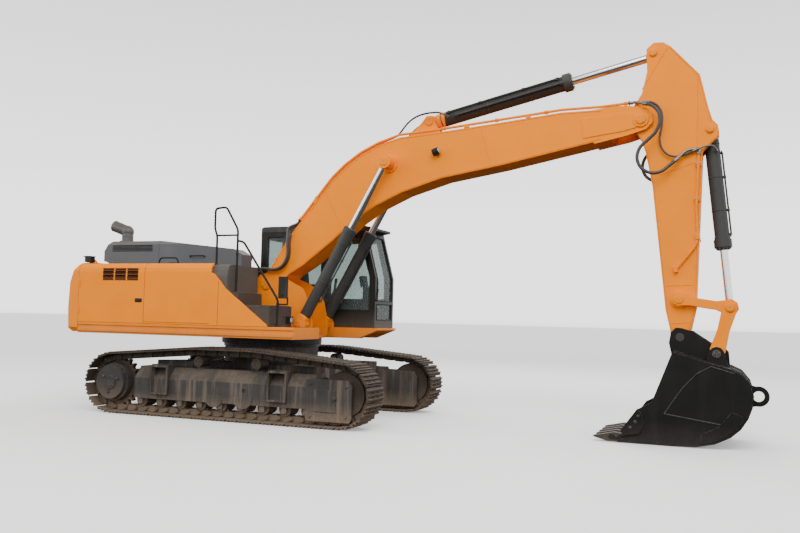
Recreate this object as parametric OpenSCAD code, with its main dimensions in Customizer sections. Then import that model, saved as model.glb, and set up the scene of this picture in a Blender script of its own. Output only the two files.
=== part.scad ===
// Crawler excavator with a one-piece boom, an arm and a toothed digging bucket.
// Millimetres. X points forward along the boom, Y to the cab side, Z up.
// The ground is at zero height and the slew axis passes through the origin.

/* [Tracks] */
// Distance between the sprocket and idler centres
wheel_base = 4400; // [4100:10:4700]
// Distance between the two track centre lines
track_gauge = 2890; // [2750:10:3100]
// Width of a track shoe
shoe_w = 600; // [550:10:700]
// Height of the sprocket and idler centres above the ground
track_end_r = 525; // [500:1:560]
// Number of shoes in one track
shoe_count = 53; // [50:1:56]
// Height of a grouser bar above its shoe plate
grouser_h = 26; // [15:1:40]
// Thickness of a shoe plate
shoe_t = 20; // [14:1:26]
// Height of the chain links
link_h = 104; // [92:1:116]
// Height of the top roller centres above the sprocket centre
top_roller_rise = 415; // [380:1:430]
// Radius of a top roller
top_roller_r = 90; // [75:1:95]
// Radius of a bottom roller
bottom_roller_r = 95; // [80:1:100]
// Number of bottom rollers on one side
bottom_roller_count = 9; // [7:1:10]
// Half width of a track frame
frame_half_w = 200; // [180:1:215]

/* [Slewing upper] */
// Height of the underside of the slewing deck
deck_z = 1355; // [1320:1:1400]
// Depth of the deck rails
deck_h = 195; // [170:1:220]
// Half width over the side panels
upper_half_w = 1500; // [1460:1:1540]
// Tail radius of the counterweight
tail_r = 3700; // [3600:10:3800]
// Height of the counterweight above the deck
weight_h = 1090; // [1000:10:1150]
// Height of the side panels above the deck
panel_h = 1050; // [980:10:1080]
// Outer radius of the slewing bearing
bearing_r = 900; // [850:10:940]

/* [Cab] */
// Height of the cab walls above the deck
cab_wall_h = 1790; // [1700:10:1840]
// Half width of the cab
cab_half_w = 447; // [430:1:450]
// Length of the cab floor
cab_len = 2420; // [2340:10:2450]
// Thickness of the cab walls
cab_wall = 60; // [45:1:70]

/* [Boom] */
// Height of the boom foot pin
boom_foot_z = 2290; // [2260:1:2320]
// Distance between the boom foot pin and the boom tip pin
boom_len = 6980; // [6900:10:7100]
// Angle of the boom above level
boom_angle = 21.87; // [21:0.01:23]
// Half width of the boom
boom_half_w = 275; // [260:1:280]
// Radius of the boom cylinder barrels
boom_barrel_r = 98; // [90:1:102]
// Radius of the boom cylinder rods
boom_rod_r = 60; // [50:1:70]
// Half distance between the two boom cylinders
boom_cyl_y = 440; // [436:1:446]

/* [Arm] */
// Distance between the boom tip pin and the bucket pin
arm_len = 3380; // [3340:1:3400]
// Angle of the arm from level
arm_angle = -80; // [-80.5:0.1:-79.5]
// Half width of the arm
arm_half_w = 210; // [195:1:214]
// Radius of the arm cylinder barrel
arm_barrel_r = 122; // [110:1:128]
// Radius of the arm cylinder rod
arm_rod_r = 66; // [55:1:75]

/* [Bucket] */
// Half width of the bucket over its side plates
bucket_half_w = 740; // [650:1:800]
// Thickness of the bucket plates
bucket_t = 36; // [25:1:45]
// Number of bucket teeth
tooth_count = 5; // [4:1:6]
// Radius of the bucket cylinder barrel
bucket_barrel_r = 108; // [95:1:112]
// Radius of the bucket cylinder rod
bucket_rod_r = 58; // [50:1:65]
// Radius of the hole in the lifting eye
lift_eye_r = 78; // [65:1:84]

/* [Hidden] */
$fn = 40;

ORANGE = [0.86, 0.33, 0.10];
DARK = [0.20, 0.20, 0.21];
STEEL = [0.42, 0.38, 0.34];
BLACK = [0.08, 0.08, 0.09];
CHROME = [0.85, 0.86, 0.88];
GLASS = [0.25, 0.32, 0.36];

// Clearances
pin_gap = 0.5;
side_gap = 6;
face_gap = 0.5;

// Track loop
pitch_r = track_end_r - grouser_h - shoe_t - link_h / 2;
track_y = track_gauge / 2;
half_base = wheel_base / 2;
top_x1 = -500;
top_x2 = 620;
top_roller_z = track_end_r + top_roller_rise;
top_pin_rise = top_roller_rise + top_roller_r + 7 + link_h / 2;
to_front = [top_x2 - half_base, top_pin_rise];
to_rear = [top_x1 + half_base, top_pin_rise];
front_angle = atan2(to_front.y, to_front.x) - acos(pitch_r / norm(to_front));
rear_angle = atan2(to_rear.y, to_rear.x) + acos(pitch_r / norm(to_rear));
front_run = sqrt(norm(to_front) ^ 2 - pitch_r ^ 2);
rear_run = sqrt(norm(to_rear) ^ 2 - pitch_r ^ 2);
s1 = wheel_base;
s2 = s1 + pitch_r * (front_angle + 90) * PI / 180;
s3 = s2 + front_run;
s4 = s3 + top_x2 - top_x1;
s5 = s4 + rear_run;
s6 = s5 + pitch_r * (270 - rear_angle) * PI / 180;
shoe_pitch = s6 / shoe_count;
half_step = shoe_pitch / pitch_r * 90 / PI;
idler_r = (pitch_r * cos(half_step) - link_h / 2) * cos(half_step) - 1;
link_top_z = track_end_r - pitch_r + link_h / 2;
bottom_roller_z = link_top_z + 0.3 + bottom_roller_r;
frame_z0 = bottom_roller_z + bottom_roller_r + 15;
frame_in_y = track_y - frame_half_w;
skirt_z = bottom_roller_z + 36;

function on_circle(c, r, a) = c + r * [cos(a), sin(a)];
function mix(p, q, t) = p + (q - p) * t;
sprocket_c = [-half_base, track_end_r];
idler_c = [half_base, track_end_r];
front_tan = on_circle(idler_c, pitch_r, front_angle);
rear_tan = on_circle(sprocket_c, pitch_r, rear_angle);
front_top = [top_x2, track_end_r + top_pin_rise];
rear_top = [top_x1, track_end_r + top_pin_rise];
function loop_point(s) =
  s < s1 ? [s - half_base, track_end_r - pitch_r] :
  s < s2 ? on_circle(idler_c, pitch_r, (s - s1) / pitch_r * 180 / PI - 90) :
  s < s3 ? mix(front_tan, front_top, (s - s2) / front_run) :
  s < s4 ? mix(front_top, rear_top, (s - s3) / (s4 - s3)) :
  s < s5 ? mix(rear_top, rear_tan, (s - s4) / rear_run) :
  on_circle(sprocket_c, pitch_r, rear_angle + (s - s5) / pitch_r * 180 / PI);
function pin_at(i) = loop_point((i % shoe_count) * shoe_pitch);
function shoe_dir(i) = (pin_at(i + 1) - pin_at(i)) / norm(pin_at(i + 1) - pin_at(i));
function shoe_point(i, t, n) =
  pin_at(i) + shoe_dir(i) * t * shoe_pitch + [shoe_dir(i).y, -shoe_dir(i).x] * n;
function loop_ring(n) = [for (i = [0 : shoe_count - 1]) shoe_point(i, 0.5, n)];
shoe_out = link_h / 2 + shoe_t;
grouser_half = 0.085;
function loop_outline() = [
  for (i = [0 : shoe_count - 1])
    for (g = [0.18, 0.5, 0.82])
      for (k = [-1, 0, 1])
        shoe_point(i, g + k * grouser_half, k == 0 ? shoe_out + grouser_h : shoe_out)
];

// Deck and house
deck_top = deck_z + deck_h;
panel_top = deck_top + panel_h;
weight_top = deck_top + weight_h;
weight_depth = 540;
weight_front = weight_depth - tail_r;
panel_t = 40;
house_split = -1715;
panel_gap = 6;
hood_rear = weight_front + 10;
hood_split = hood_rear + 1150;
hood_front = -230;
hood_half_w = 760;
cover_left = 540;
cover_step = -1150;
nose_left = -440;
hood_top = panel_top + 470;
plate_top = panel_top - 15;
hood_low = plate_top + 0.3;

// Cab
cab_x0 = -660;
cab_x1 = cab_x0 + cab_len;
cab_y = upper_half_w - cab_half_w;
cab_z0 = deck_top;
cab_z1 = cab_z0 + cab_wall_h;
cab_knee_z = cab_z0 + 930;
cab_top_x = cab_x1 - 230;
door_x0 = 330;
door_x1 = cab_x1 - 90;
door_z0 = cab_z0 + 60;
door_z1 = cab_z1 - 70;

// The boom is drawn for one length, and its part past the knee follows boom_len
drawn_len = 6980;
knee_x = 3000;
tip_x = drawn_len - 780;
knee_run = (boom_len - drawn_len + tip_x - knee_x) / (tip_x - knee_x);
function boom_x(x) =
  x < knee_x ? x :
  x < tip_x ? knee_x + (x - knee_x) * knee_run :
  x + boom_len - drawn_len;
function fit_boom(list) = [for (q = list) [boom_x(q.x), q.y]];

// Boom, arm and bucket pins in the X and Z plane
foot = [30, boom_foot_z];
function turn(p, a) = [p.x * cos(a) - p.y * sin(a), p.x * sin(a) + p.y * cos(a)];
function in_boom(p) = foot + turn(p, boom_angle);
tip = in_boom([boom_len, 0]);
function in_arm(p) = tip + turn(p, arm_angle);
wrist = in_arm([arm_len, 0]);
boom_rod_pin = [2927, 1077];
boom_base = [820, 1620];
notch_x = boom_base.x - 210;
arm_base_pin = [boom_x(3810), 1500];
arm_rod_pin = [-1000, 352];
bucket_base_pin = [370, 951];
tipping_pin = [arm_len - 554, 84];
bucket_ear = [515, -228];
link_pin = wrist + [698, 454];
bucket_in_arm = arm_len;
bracket_in = boom_half_w + 11;
bracket_out = bracket_in + 30;
fork_in = arm_half_w + 12;
ear_in = arm_half_w + 12;
ear_out = ear_in + 48;
tip_link_in = ear_out + side_gap;
tip_link_out = tip_link_in + 40;
link_in = tip_link_out + side_gap;
link_out = link_in + 40;
cheek_out = link_out + side_gap + 36;
foot_pin_r = 70;
tip_pin_r = 65;
wrist_pin_r = 55;
cyl_pin_r = 50;

// Helpers
module slab(y0, y1) {
  translate([0, y1, 0])
    rotate([90, 0, 0])
      linear_extrude(y1 - y0)
        children();
}
module along_x(x0, x1) {
  translate([x0, 0, 0])
    rotate([90, 0, 90])
      linear_extrude(x1 - x0)
        children();
}
module pair_slab(y0, y1) {
  slab(y0, y1)
    children();
  slab(-y1, -y0)
    children();
}
module across(p, r, y0, y1) {
  translate([p.x, y1, p.y])
    rotate([90, 0, 0])
      cylinder(r = r, h = y1 - y0);
}
module pair_across(p, r, y0, y1) {
  across(p, r, y0, y1);
  across(p, r, -y1, -y0);
}
module box(x0, x1, y0, y1, z0, z1) {
  translate([x0, y0, z0])
    cube([x1 - x0, y1 - y0, z1 - z0]);
}
module both_sides() {
  children();
  mirror([0, 1, 0])
    children();
}
module at_boom() {
  translate([foot.x, 0, foot.y])
    rotate([0, -boom_angle, 0])
      children();
}
module at_arm() {
  translate([tip.x, 0, tip.y])
    rotate([0, -arm_angle, 0])
      children();
}
module at_bucket() {
  translate([wrist.x, 0, wrist.y])
    children();
}
// Local X runs from pin p to pin q
module between(p, q) {
  translate([p.x, 0, p.y])
    rotate([0, -atan2(q.y - p.y, q.x - p.x), 0])
      children();
}
module rod_x(x0, x1, r) {
  translate([x0, 0, 0])
    rotate([0, 90, 0])
      cylinder(r = r, h = x1 - x0);
}
module bar(p, q, r) {
  d = q - p;
  len = norm(d);
  translate(p)
    rotate([0, acos(d.z / len), atan2(d.y, d.x)])
      cylinder(r = r, h = len);
}
module pipe(pts, r) {
  for (i = [0 : len(pts) - 2])
    bar(pts[i], pts[i + 1], r);
  for (i = [1 : len(pts) - 2])
    translate(pts[i])
      sphere(r = r * 1.08);
}
// Tube with flat sides swept along a list of points
function sweep_dir(p, i) =
  i == 0 ? p[1] - p[0] :
  i == len(p) - 1 ? p[i] - p[i - 1] :
  p[i + 1] - p[i - 1];
function unit(v) = v / norm(v);
function ring_side(p, i) = unit(cross(sweep_dir(p, i), [0.15, 1, 0.1]));
function ring_up(p, i) = unit(cross(ring_side(p, i), sweep_dir(p, i)));
module hose(p, r, n = 10) {
  m = len(p);
  pts = [
    for (i = [0 : m - 1])
      for (k = [0 : n - 1])
        p[i] + r * (cos(k * 360 / n) * ring_side(p, i) + sin(k * 360 / n) * ring_up(p, i))
  ];
  sides = [
    for (i = [0 : m - 2])
      for (k = [0 : n - 1])
        [i * n + k, i * n + (k + 1) % n, (i + 1) * n + (k + 1) % n, (i + 1) * n + k]
  ];
  ends = [
    [for (k = [n - 1 : -1 : 0]) k],
    [for (k = [0 : n - 1]) (m - 1) * n + k]
  ];
  polyhedron(points = pts, faces = concat(sides, ends));
}

// Undercarriage
module track_side() {
  both_sides()
    translate([0, track_y, 0])
      children();
}
module carbody() {
  leg = [[150, 520], [760, 200], [1560, frame_in_y], [820, frame_in_y]];
  color(STEEL) {
    translate([0, 0, 560])
      cylinder(r = bearing_r - 60, h = deck_z - 165 - 560);
    for (sx = [0, 1])
      for (sy = [0, 1])
        mirror([sx, 0, 0])
          mirror([0, sy, 0])
            translate([0, 0, 590])
              linear_extrude(330)
                polygon(leg);
  }
}
module swing_bearing() {
  z0 = deck_z - 165;
  color(BLACK)
    rotate_extrude()
      polygon([
        [bearing_r - 180, z0], [bearing_r - 40, z0], [bearing_r - 40, z0 + 60],
        [bearing_r, z0 + 60], [bearing_r, deck_z - face_gap],
        [bearing_r - 180, deck_z - face_gap]
      ]);
}
frame_top = frame_z0 + 465;
frame_end = [
  [-frame_half_w, frame_z0], [frame_half_w, frame_z0], [frame_half_w, frame_z0 + 272],
  [40, frame_top], [-frame_half_w, frame_top]
];
module track_frames() {
  w = frame_half_w;
  top = frame_top;
  arm_top = track_end_r + 110;
  arm_bot = track_end_r - 100;
  guard = [
    [half_base - 600, 110], [half_base + 150, 110], [half_base + 190, 165],
    [half_base + 190, 660], [half_base + 125, 760], [half_base - 600, 760]
  ];
  color(STEEL)
    track_side() {
      difference() {
        along_x(-1720, 1700)
          polygon(frame_end);
        box(416, 476, w - 25, w + 1, 470, 530);
      }
      pair_slab(w - 16, w)
        polygon([[-1720, skirt_z], [1640, skirt_z], [1640, frame_z0 + 20], [-1720, frame_z0 + 20]]);
      box(1650, half_base + 60, 132, w, arm_bot, arm_top);
      box(1650, half_base + 60, -w, -132, arm_bot, arm_top);
      pair_slab(w - 20, w + 36)
        polygon(guard);
      difference() {
        box(-half_base + 120, -1700, -w, -70, 400, 690);
        across(sprocket_c, 230.3, -300, 0);
      }
      for (i = [0 : bottom_roller_count - 1])
        for (sy = [-1, 1])
          translate([roller_x(i), sy * 168, 0])
            box(-45, 45, -18, 18, bottom_roller_z - 60, frame_z0 + 5);
      for (x = [-120, 430])
        slab(w - 20, w + 8)
          polygon(half_disc([x, frame_z0 + 40], 185));
      for (x = [top_x1, top_x2])
        box(x - 60, x + 60, -40, 40, top - 20, top_roller_z - top_roller_r - 12);
      for (x = [top_x1, top_x2])
        box(x - 45, x + 45, -190, -150, top - 20, top_roller_z + 45);
    }
}
// Half disc below its centre, for a chain guide
function half_disc(c, r) = [for (a = [180 : 15 : 360]) on_circle(c, r, a)];
function roller_x(i) = -1600 + i * 3180 / (bottom_roller_count - 1);
module track_loops() {
  y = 65;
  outer = loop_outline();
  inner = loop_ring(link_h / 2);
  link_o = loop_ring(link_h / 2 + 3);
  link_i = loop_ring(-link_h / 2);
  no = len(outer);
  ni = len(inner);
  color(STEEL)
    track_side() {
      slab(-shoe_w / 2, shoe_w / 2)
        polygon(concat(outer, inner), [[for (i = [0 : no - 1]) i], [for (i = [0 : ni - 1]) no + i]]);
      for (s = [0, 1])
        mirror([0, s, 0])
          slab(y, y + 45)
            polygon(
              concat(link_o, link_i),
              [[for (i = [0 : ni - 1]) i], [for (i = [0 : ni - 1]) ni + i]]
            );
    }
}
module final_drives() {
  color(STEEL)
    track_side() {
      across(sprocket_c, 325, 45.2, 180);
      across(sprocket_c, 285, 180, 262);
      across(sprocket_c, 120, 262, 280);
      across(sprocket_c, 230, -215, -45.2);
    }
}
module drive_sprockets() {
  teeth = 24;
  root = pitch_r - 40;
  color(STEEL)
    track_side()
      slab(-45, 45)
        polygon([
          for (i = [0 : teeth - 1])
            for (k = [[-0.3, 0], [-0.13, 62], [0.13, 62], [0.3, 0]])
              on_circle(sprocket_c, root + k[1], (i + k[0]) * 360 / teeth)
        ]);
}
module idlers() {
  color(STEEL)
    track_side() {
      across(idler_c, idler_r, -110, 110);
      across(idler_c, idler_r + 28, -58, 58);
      across(idler_c, 75, -132, 132);
    }
}
module bottom_rollers() {
  color(STEEL)
    track_side()
      for (i = [0 : bottom_roller_count - 1]) {
        across([roller_x(i), bottom_roller_z], bottom_roller_r, -118, 118);
        across([roller_x(i), bottom_roller_z], bottom_roller_r + 12, 114, 136);
        across([roller_x(i), bottom_roller_z], bottom_roller_r + 12, -136, -114);
        across([roller_x(i), bottom_roller_z], 36, -150, 150);
      }
}
module top_rollers() {
  color(STEEL)
    track_side()
      for (x = [top_x1, top_x2]) {
        across([x, top_roller_z], top_roller_r, -125, 125);
        across([x, top_roller_z], 40, -150, -120);
      }
}
module track_steps() {
  y0 = frame_half_w;
  color(STEEL)
    track_side()
      for (x = [-1185, 1080])
        difference() {
          box(x - 172, x + 172, y0 - 120, y0 + 60, frame_z0 + 10, 850);
          box(x - 144, x + 144, y0 - 130, y0 + 70, frame_z0 + 40, 822);
          along_x(x - 230, x + 230)
            polygon(frame_end);
        }
}
module tow_lugs() {
  z = 670;
  color(STEEL)
    for (side = [0, 1])
      mirror([side, 0, 0])
        translate([0, 0, z])
          difference() {
            union() {
              translate([bearing_r + 60, 0, 0])
                cylinder(r = 90, h = 60);
              box(bearing_r - 120, bearing_r + 60, -90, 90, 0, 60);
            }
            translate([bearing_r + 70, 0, -10])
              cylinder(r = 42, h = 80);
            translate([0, 0, -10])
              cylinder(r = bearing_r - 59.7, h = 80);
          }
}

// Slewing upper
lug_in = boom_cyl_y + boom_barrel_r + 6;
notch_y = lug_in + 44;
deck_plan = [
  [weight_front, -upper_half_w + 20], [1250, -upper_half_w + 20], [1250, -notch_y], [notch_x, -notch_y],
  [notch_x, notch_y], [cab_x1 + 70, notch_y], [cab_x1 + 70, upper_half_w - 20],
  [weight_front, upper_half_w - 20]
];
foot_plate = [
  [-620, deck_z], [boom_base.x + 90, deck_z], [boom_base.x + 140, deck_z + 60],
  [boom_base.x + 140, boom_base.y], [boom_base.x + 70, 1980], [boom_base.x - 60, 2230],
  [480, 2370], [160, foot.y + 190], [30, foot.y + 215],
  [-120, foot.y + 180], [-200, foot.y + 40], [-260, 2000], [-620, deck_top]
];
outer_lug = [
  [boom_base.x - 270, deck_z], [boom_base.x + 90, deck_z], [boom_base.x + 130, deck_z + 60],
  [boom_base.x + 140, boom_base.y], [boom_base.x + 90, boom_base.y + 110],
  [boom_base.x - 10, boom_base.y + 150], [boom_base.x - 270, deck_top]
];
module upper_frame() {
  color(ORANGE) {
    difference() {
      translate([0, 0, deck_z])
        linear_extrude(deck_h)
          polygon(deck_plan);
      box(weight_front + 120, notch_x - 120, 480, 1360, deck_z - 1, deck_top - 60);
      box(weight_front + 120, 1130, -1360, -480, deck_z - 1, deck_top - 60);
      box(780, 1700, 760, 1360, deck_z - 1, deck_top - 60);
      slab(notch_y - 10, upper_half_w)
        polygon([[1450, deck_z - 1], [cab_x1 + 80, deck_z - 1], [cab_x1 + 80, deck_top - 35]]);
    }
    pair_slab(bracket_in, bracket_out)
      polygon(foot_plate);
    pair_slab(lug_in, lug_in + 36)
      polygon(outer_lug);
    across(foot, foot_pin_r, -bracket_out - 20, bracket_out + 20);
    pair_across(boom_base, cyl_pin_r, bracket_in, lug_in + 42);
    translate([0, 0, deck_z])
      difference() {
        cylinder(r = bearing_r + 40, h = 60);
        translate([0, 0, -1])
          cylinder(r = bearing_r - 150, h = 62);
      }
  }
}
module counterweight() {
  z0 = deck_z + 15;
  h = weight_top;
  color(ORANGE)
    intersection() {
      rotate_extrude()
        polygon([
          [tail_r - 1200, z0], [tail_r - 90, z0], [tail_r - 20, z0 + 60], [tail_r, z0 + 420],
          [tail_r - 20, h - 380], [tail_r - 90, h - 160], [tail_r - 210, h - 40],
          [tail_r - 330, h], [tail_r - 1200, h]
        ]);
      along_x(-tail_r - 300, weight_front - 0.3)
        polygon([
          [-upper_half_w + 60, z0], [upper_half_w - 60, z0], [upper_half_w, z0 + 80],
          [upper_half_w, h - 170], [upper_half_w - 30, h - 80], [upper_half_w - 110, h - 15],
          [upper_half_w - 200, h], [-upper_half_w + 200, h], [-upper_half_w + 110, h - 15],
          [-upper_half_w + 30, h - 80], [-upper_half_w, h - 170], [-upper_half_w, z0 + 80]
        ]);
    }
}
engine_x0 = weight_front + 310;
engine_len = house_split - 235 - engine_x0;
module engine() {
  color(DARK) {
    box(engine_x0, engine_x0 + engine_len, -620, 780, deck_top, deck_top + 760);
    box(engine_x0 + engine_len / 4, engine_x0 + engine_len * 3 / 4, -500, 640,
      deck_top + 755, deck_top + 980);
  }
}
// Top plates and bulkheads round the engine bay
module house_frame() {
  z1 = plate_top;
  z0 = z1 - 30;
  y = upper_half_w - panel_t - 65;
  color(DARK)
    difference() {
      union() {
        box(weight_front, house_split, -y, y, z0, z1);
        box(house_split - 10, cab_x0 - 35, -470, y, z0, z1);
        box(house_split - 30, house_split, -y, y, deck_top, z0 + 5);
        box(weight_front, weight_front + 30, -y, y, deck_top, z0 + 5);
        box(cab_x0 - 70, cab_x0 - 40, 460, y, deck_top, z0 + 5);
      }
      box(weight_front + 60, hood_split - 60, -hood_half_w + 60, hood_half_w - 60, z0 - 1, z1 + 1);
    }
}
function skin(y, t, z0, z1) = [
  [y, z0], [y, z1 - 150], [y - 12, z1 - 80], [y - 45, z1 - 30], [y - 100, z1],
  [y - 100, z1 - t], [y - 68, z1 - t - 18], [y - 48, z1 - t - 48], [y - t, z1 - 150 - t],
  [y - t, z0]
];
function flip(p) = [for (i = [len(p) - 1 : -1 : 0]) [-p[i].x, p[i].y]];
module skin_panel(x0, x1, side) {
  p = skin(upper_half_w, panel_t, deck_top + 0.3, panel_top);
  along_x(x0, x1)
    polygon(side < 0 ? flip(p) : p);
}
module side_covers() {
  y = -upper_half_w;
  color(ORANGE) {
    skin_panel(house_split + panel_gap, -360, -1);
    slab(y, y + panel_t)
      polygon([
        [-370, deck_top + 0.3], [740, deck_top + 0.3], [740, deck_top + 30], [-70, deck_top + 620],
        [-190, deck_top + 760], [-300, deck_top + 870], [-370, deck_top + 890]
      ]);
  }
}
module fuel_tank() {
  y0 = -upper_half_w + panel_t + 4;
  z1 = plate_top;
  color(DARK)
    along_x(house_split + 4, -60)
      polygon([
        [y0, deck_top], [y0, z1 - 200], [y0 + 20, z1 - 100], [y0 + 60, z1 - 30],
        [y0 + 120, z1], [-480, z1], [-480, deck_top]
      ]);
}
box_front = 760;
module storage_box() {
  y0 = -upper_half_w + panel_t + 4;
  color(DARK) {
    box(-58, 166, y0, -700, deck_top, deck_top + 560);
    box(168, box_front, y0, -700, deck_top, deck_top + 350);
  }
}
hood_side = [
  [hood_rear, hood_low], [hood_rear, weight_top + 20], [hood_rear - 106, weight_top + 50],
  [hood_rear - 106, hood_top - 190], [hood_rear + 20, hood_top],
  [hood_split, hood_top], [hood_front - 170, hood_top - 170], [hood_front, hood_top - 270],
  [hood_front, hood_low]
];
function hood_end(l, r, d, z) = [
  [l - d, z], [l - d, hood_top - 70], [l - 80 - d * 0.5, hood_top - d],
  [-r + 80 + d * 0.5, hood_top - d], [-r + d, hood_top - 70], [-r + d, z]
];
module hood_body(left) {
  intersection() {
    slab(-hood_half_w, hood_half_w)
      polygon(hood_side);
    along_x(-4000, 0)
      polygon(hood_end(left, hood_half_w, 0, hood_low));
  }
}
module hood_inside(left) {
  t = 30;
  intersection() {
    slab(-hood_half_w, hood_half_w)
      polygon([
        [hood_rear + t, hood_low - 1], [hood_rear + t, weight_top + 40],
        [hood_rear - 106 + t, weight_top + 75], [hood_rear - 106 + t, hood_top - 200],
        [hood_rear + 15 + t, hood_top - t], [hood_split, hood_top - t],
        [hood_front - 170 - t, hood_top - 170 - t], [hood_front - t, hood_top - 270 - t],
        [hood_front - t, hood_low - 1]
      ]);
    along_x(-4000, 0)
      polygon(hood_end(left, hood_half_w, t, hood_low - 1));
  }
}
module engine_hood() {
  color(DARK)
    difference() {
      hood_body(hood_half_w);
      hood_inside(hood_half_w);
      box(hood_split - 3, 0, -1000, 1000, 2000, 4000);
      for (i = [0 : 4])
        box(hood_rear + 84, hood_rear + 1003, -hood_half_w - 10, -hood_half_w + 8,
          hood_top - 100 - i * 25, hood_top - 86 - i * 25);
    }
  color(DARK)
    pair_across([hood_rear - 90, weight_top + 35], 16, 380, 520);
}
module hood_cover() {
  color(DARK)
    difference() {
      union() {
        difference() {
          hood_body(cover_left);
          hood_inside(cover_left);
          box(cover_step, 0, -1000, 1000, 2000, 4000);
        }
        difference() {
          hood_body(nose_left);
          hood_inside(nose_left);
          box(-4000, cover_step - 30, -1000, 1000, 2000, 4000);
        }
        box(cover_step - 30, cover_step, nose_left - 40, cover_left - 40, hood_low, hood_top - 220);
      }
      box(-4000, hood_split + 3, -1000, 1000, 2000, 4000);
    }
}
module exhaust_stack() {
  p0 = [hood_rear + 195, -480, hood_top + 0.3];
  color(DARK)
    pipe([p0, p0 + [0, 0, 205], p0 + [-310, 0, 315]], 106);
}
module control_valve() {
  z = deck_top;
  color(STEEL) {
    box(-1000, -480, -280, 280, z, z + 620);
    for (i = [0 : 4])
      box(-960 + i * 100, -900 + i * 100, -240, 240, z + 610, z + 760);
    translate([-590, 20, z + 740]) {
      cylinder(r = 74, h = 460);
      translate([0, 0, 459])
        cylinder(r = 84, h = 60);
    }
  }
}
rail_y = -1300;
module handrails() {
  y = rail_y;
  z = plate_top + 0.3;
  x = -390;
  color(DARK) {
    pipe([
      [x, y, z], [x, y, 3080], [x - 50, y, 3200], [x - 50, y, 3550],
      [x + 170, y, 3570], [20, y, 3180], [20, y, 2980]
    ], 19);
    pipe([
      [20, y, 2990], [140, y, 2970], [830, y, 2000], [830, y, deck_top + 0.3]
    ], 19);
    bar([20, y, deck_top + 560.3], [20, y, 3000], 19);
    bar([x, y, 3085], [20, y, 3085], 16);
    pipe([
      [-1500, y + 60, z], [-1500, y + 60, z + 380], [x, y, z + 380]
    ], 19);
  }
}
module side_mirror() {
  y = rail_y;
  color(BLACK) {
    pipe([[849.3, y, 1925], [1010, y, 1925], [1010, y, 2040], [970, y - 60, 2080]], 14);
    box(885, 1035, y - 90, y - 55, 2030, 2380);
  }
}
module work_lamps() {
  color(DARK) {
    box(box_front + 0.2, box_front + 70, -890, -750, deck_top + 60, deck_top + 180);
  }
}

// Cab
cab_side = [
  [cab_x0, cab_z0], [cab_x1, cab_z0], [cab_x1, cab_knee_z], [cab_top_x, cab_z1],
  [cab_x0, cab_z1]
];
cab_room = [
  [cab_x0 + cab_wall, cab_z0 + cab_wall], [cab_x1 - cab_wall, cab_z0 + cab_wall],
  [cab_x1 - cab_wall, cab_knee_z - 8], [cab_top_x - cab_wall, cab_z1 + 1],
  [cab_x0 + cab_wall, cab_z1 + 1]
];
right_window = [
  [cab_x0 + 150, cab_z0 + 640], [560, cab_z0 + 640], [640, cab_z0 + 320],
  [cab_x1 - 110, cab_z0 + 320], [cab_x1 - 110, cab_knee_z], [cab_top_x - 110, cab_z1 - 90],
  [cab_x0 + 150, cab_z1 - 90]
];
door_side = [
  [door_x0, door_z0], [door_x1, door_z0], [door_x1, cab_knee_z],
  [door_x1 - 190, door_z1], [door_x0, door_z1]
];
rear_left_window = [
  [cab_x0 + 120, cab_z0 + 820], [door_x0 - 110, cab_z0 + 820],
  [door_x0 - 110, cab_z1 - 100], [cab_x0 + 120, cab_z1 - 100]
];
module front_cut(z0, z1, half) {
  box(cab_x1 - 420, cab_x1 + 100, cab_y - half, cab_y + half, z0, z1);
}
module cab_shell() {
  y0 = cab_y - cab_half_w;
  y1 = cab_y + cab_half_w;
  color(DARK)
    difference() {
      slab(y0, y1)
        polygon(cab_side);
      slab(y0 + cab_wall, y1 - cab_wall)
        polygon(cab_room);
      slab(y0 - 10, y0 + cab_wall + 10)
        polygon(right_window);
      slab(y1 - cab_wall - 10, y1 + 10)
        polygon(door_side);
      slab(y1 - cab_wall - 10, y1 + 10)
        polygon(rear_left_window);
      front_cut(cab_z0 + 500, cab_z1 - 90, cab_half_w - 90);
      front_cut(cab_z0 + 150, cab_z0 + 440, cab_half_w - 90);
      box(cab_x0 - 10, cab_x0 + cab_wall + 10, cab_y - 380, cab_y + 380, cab_z0 + 900, cab_z1 - 120);
    }
  color(DARK)
    for (z = hinge_zs) {
      translate([hinge_x, hinge_y, z])
        cylinder(r = 16, h = 60);
      box(door_x0 - 30, door_x0 + 2, y1 - 10, hinge_y, z, z + 60);
      box(door_x0, hinge_x, hinge_y - 11, hinge_y + 8, z, z + 60);
    }
}
module cab_roof() {
  z = cab_z1 + face_gap;
  color(DARK)
    slab(cab_y - cab_half_w, cab_y + cab_half_w)
      polygon([
        [cab_x0, z], [cab_top_x + 20, z], [cab_top_x + 135, z + 18], [cab_top_x + 135, z + 62],
        [cab_top_x - 60, z + 100], [cab_x0 + 70, z + 100], [cab_x0, z + 75]
      ]);
  color(DARK)
    box(cab_x0 + 700, cab_x0 + 1500, cab_y - 300, cab_y + 300, z + 95, z + 125);
}
glass_t = 8;
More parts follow.
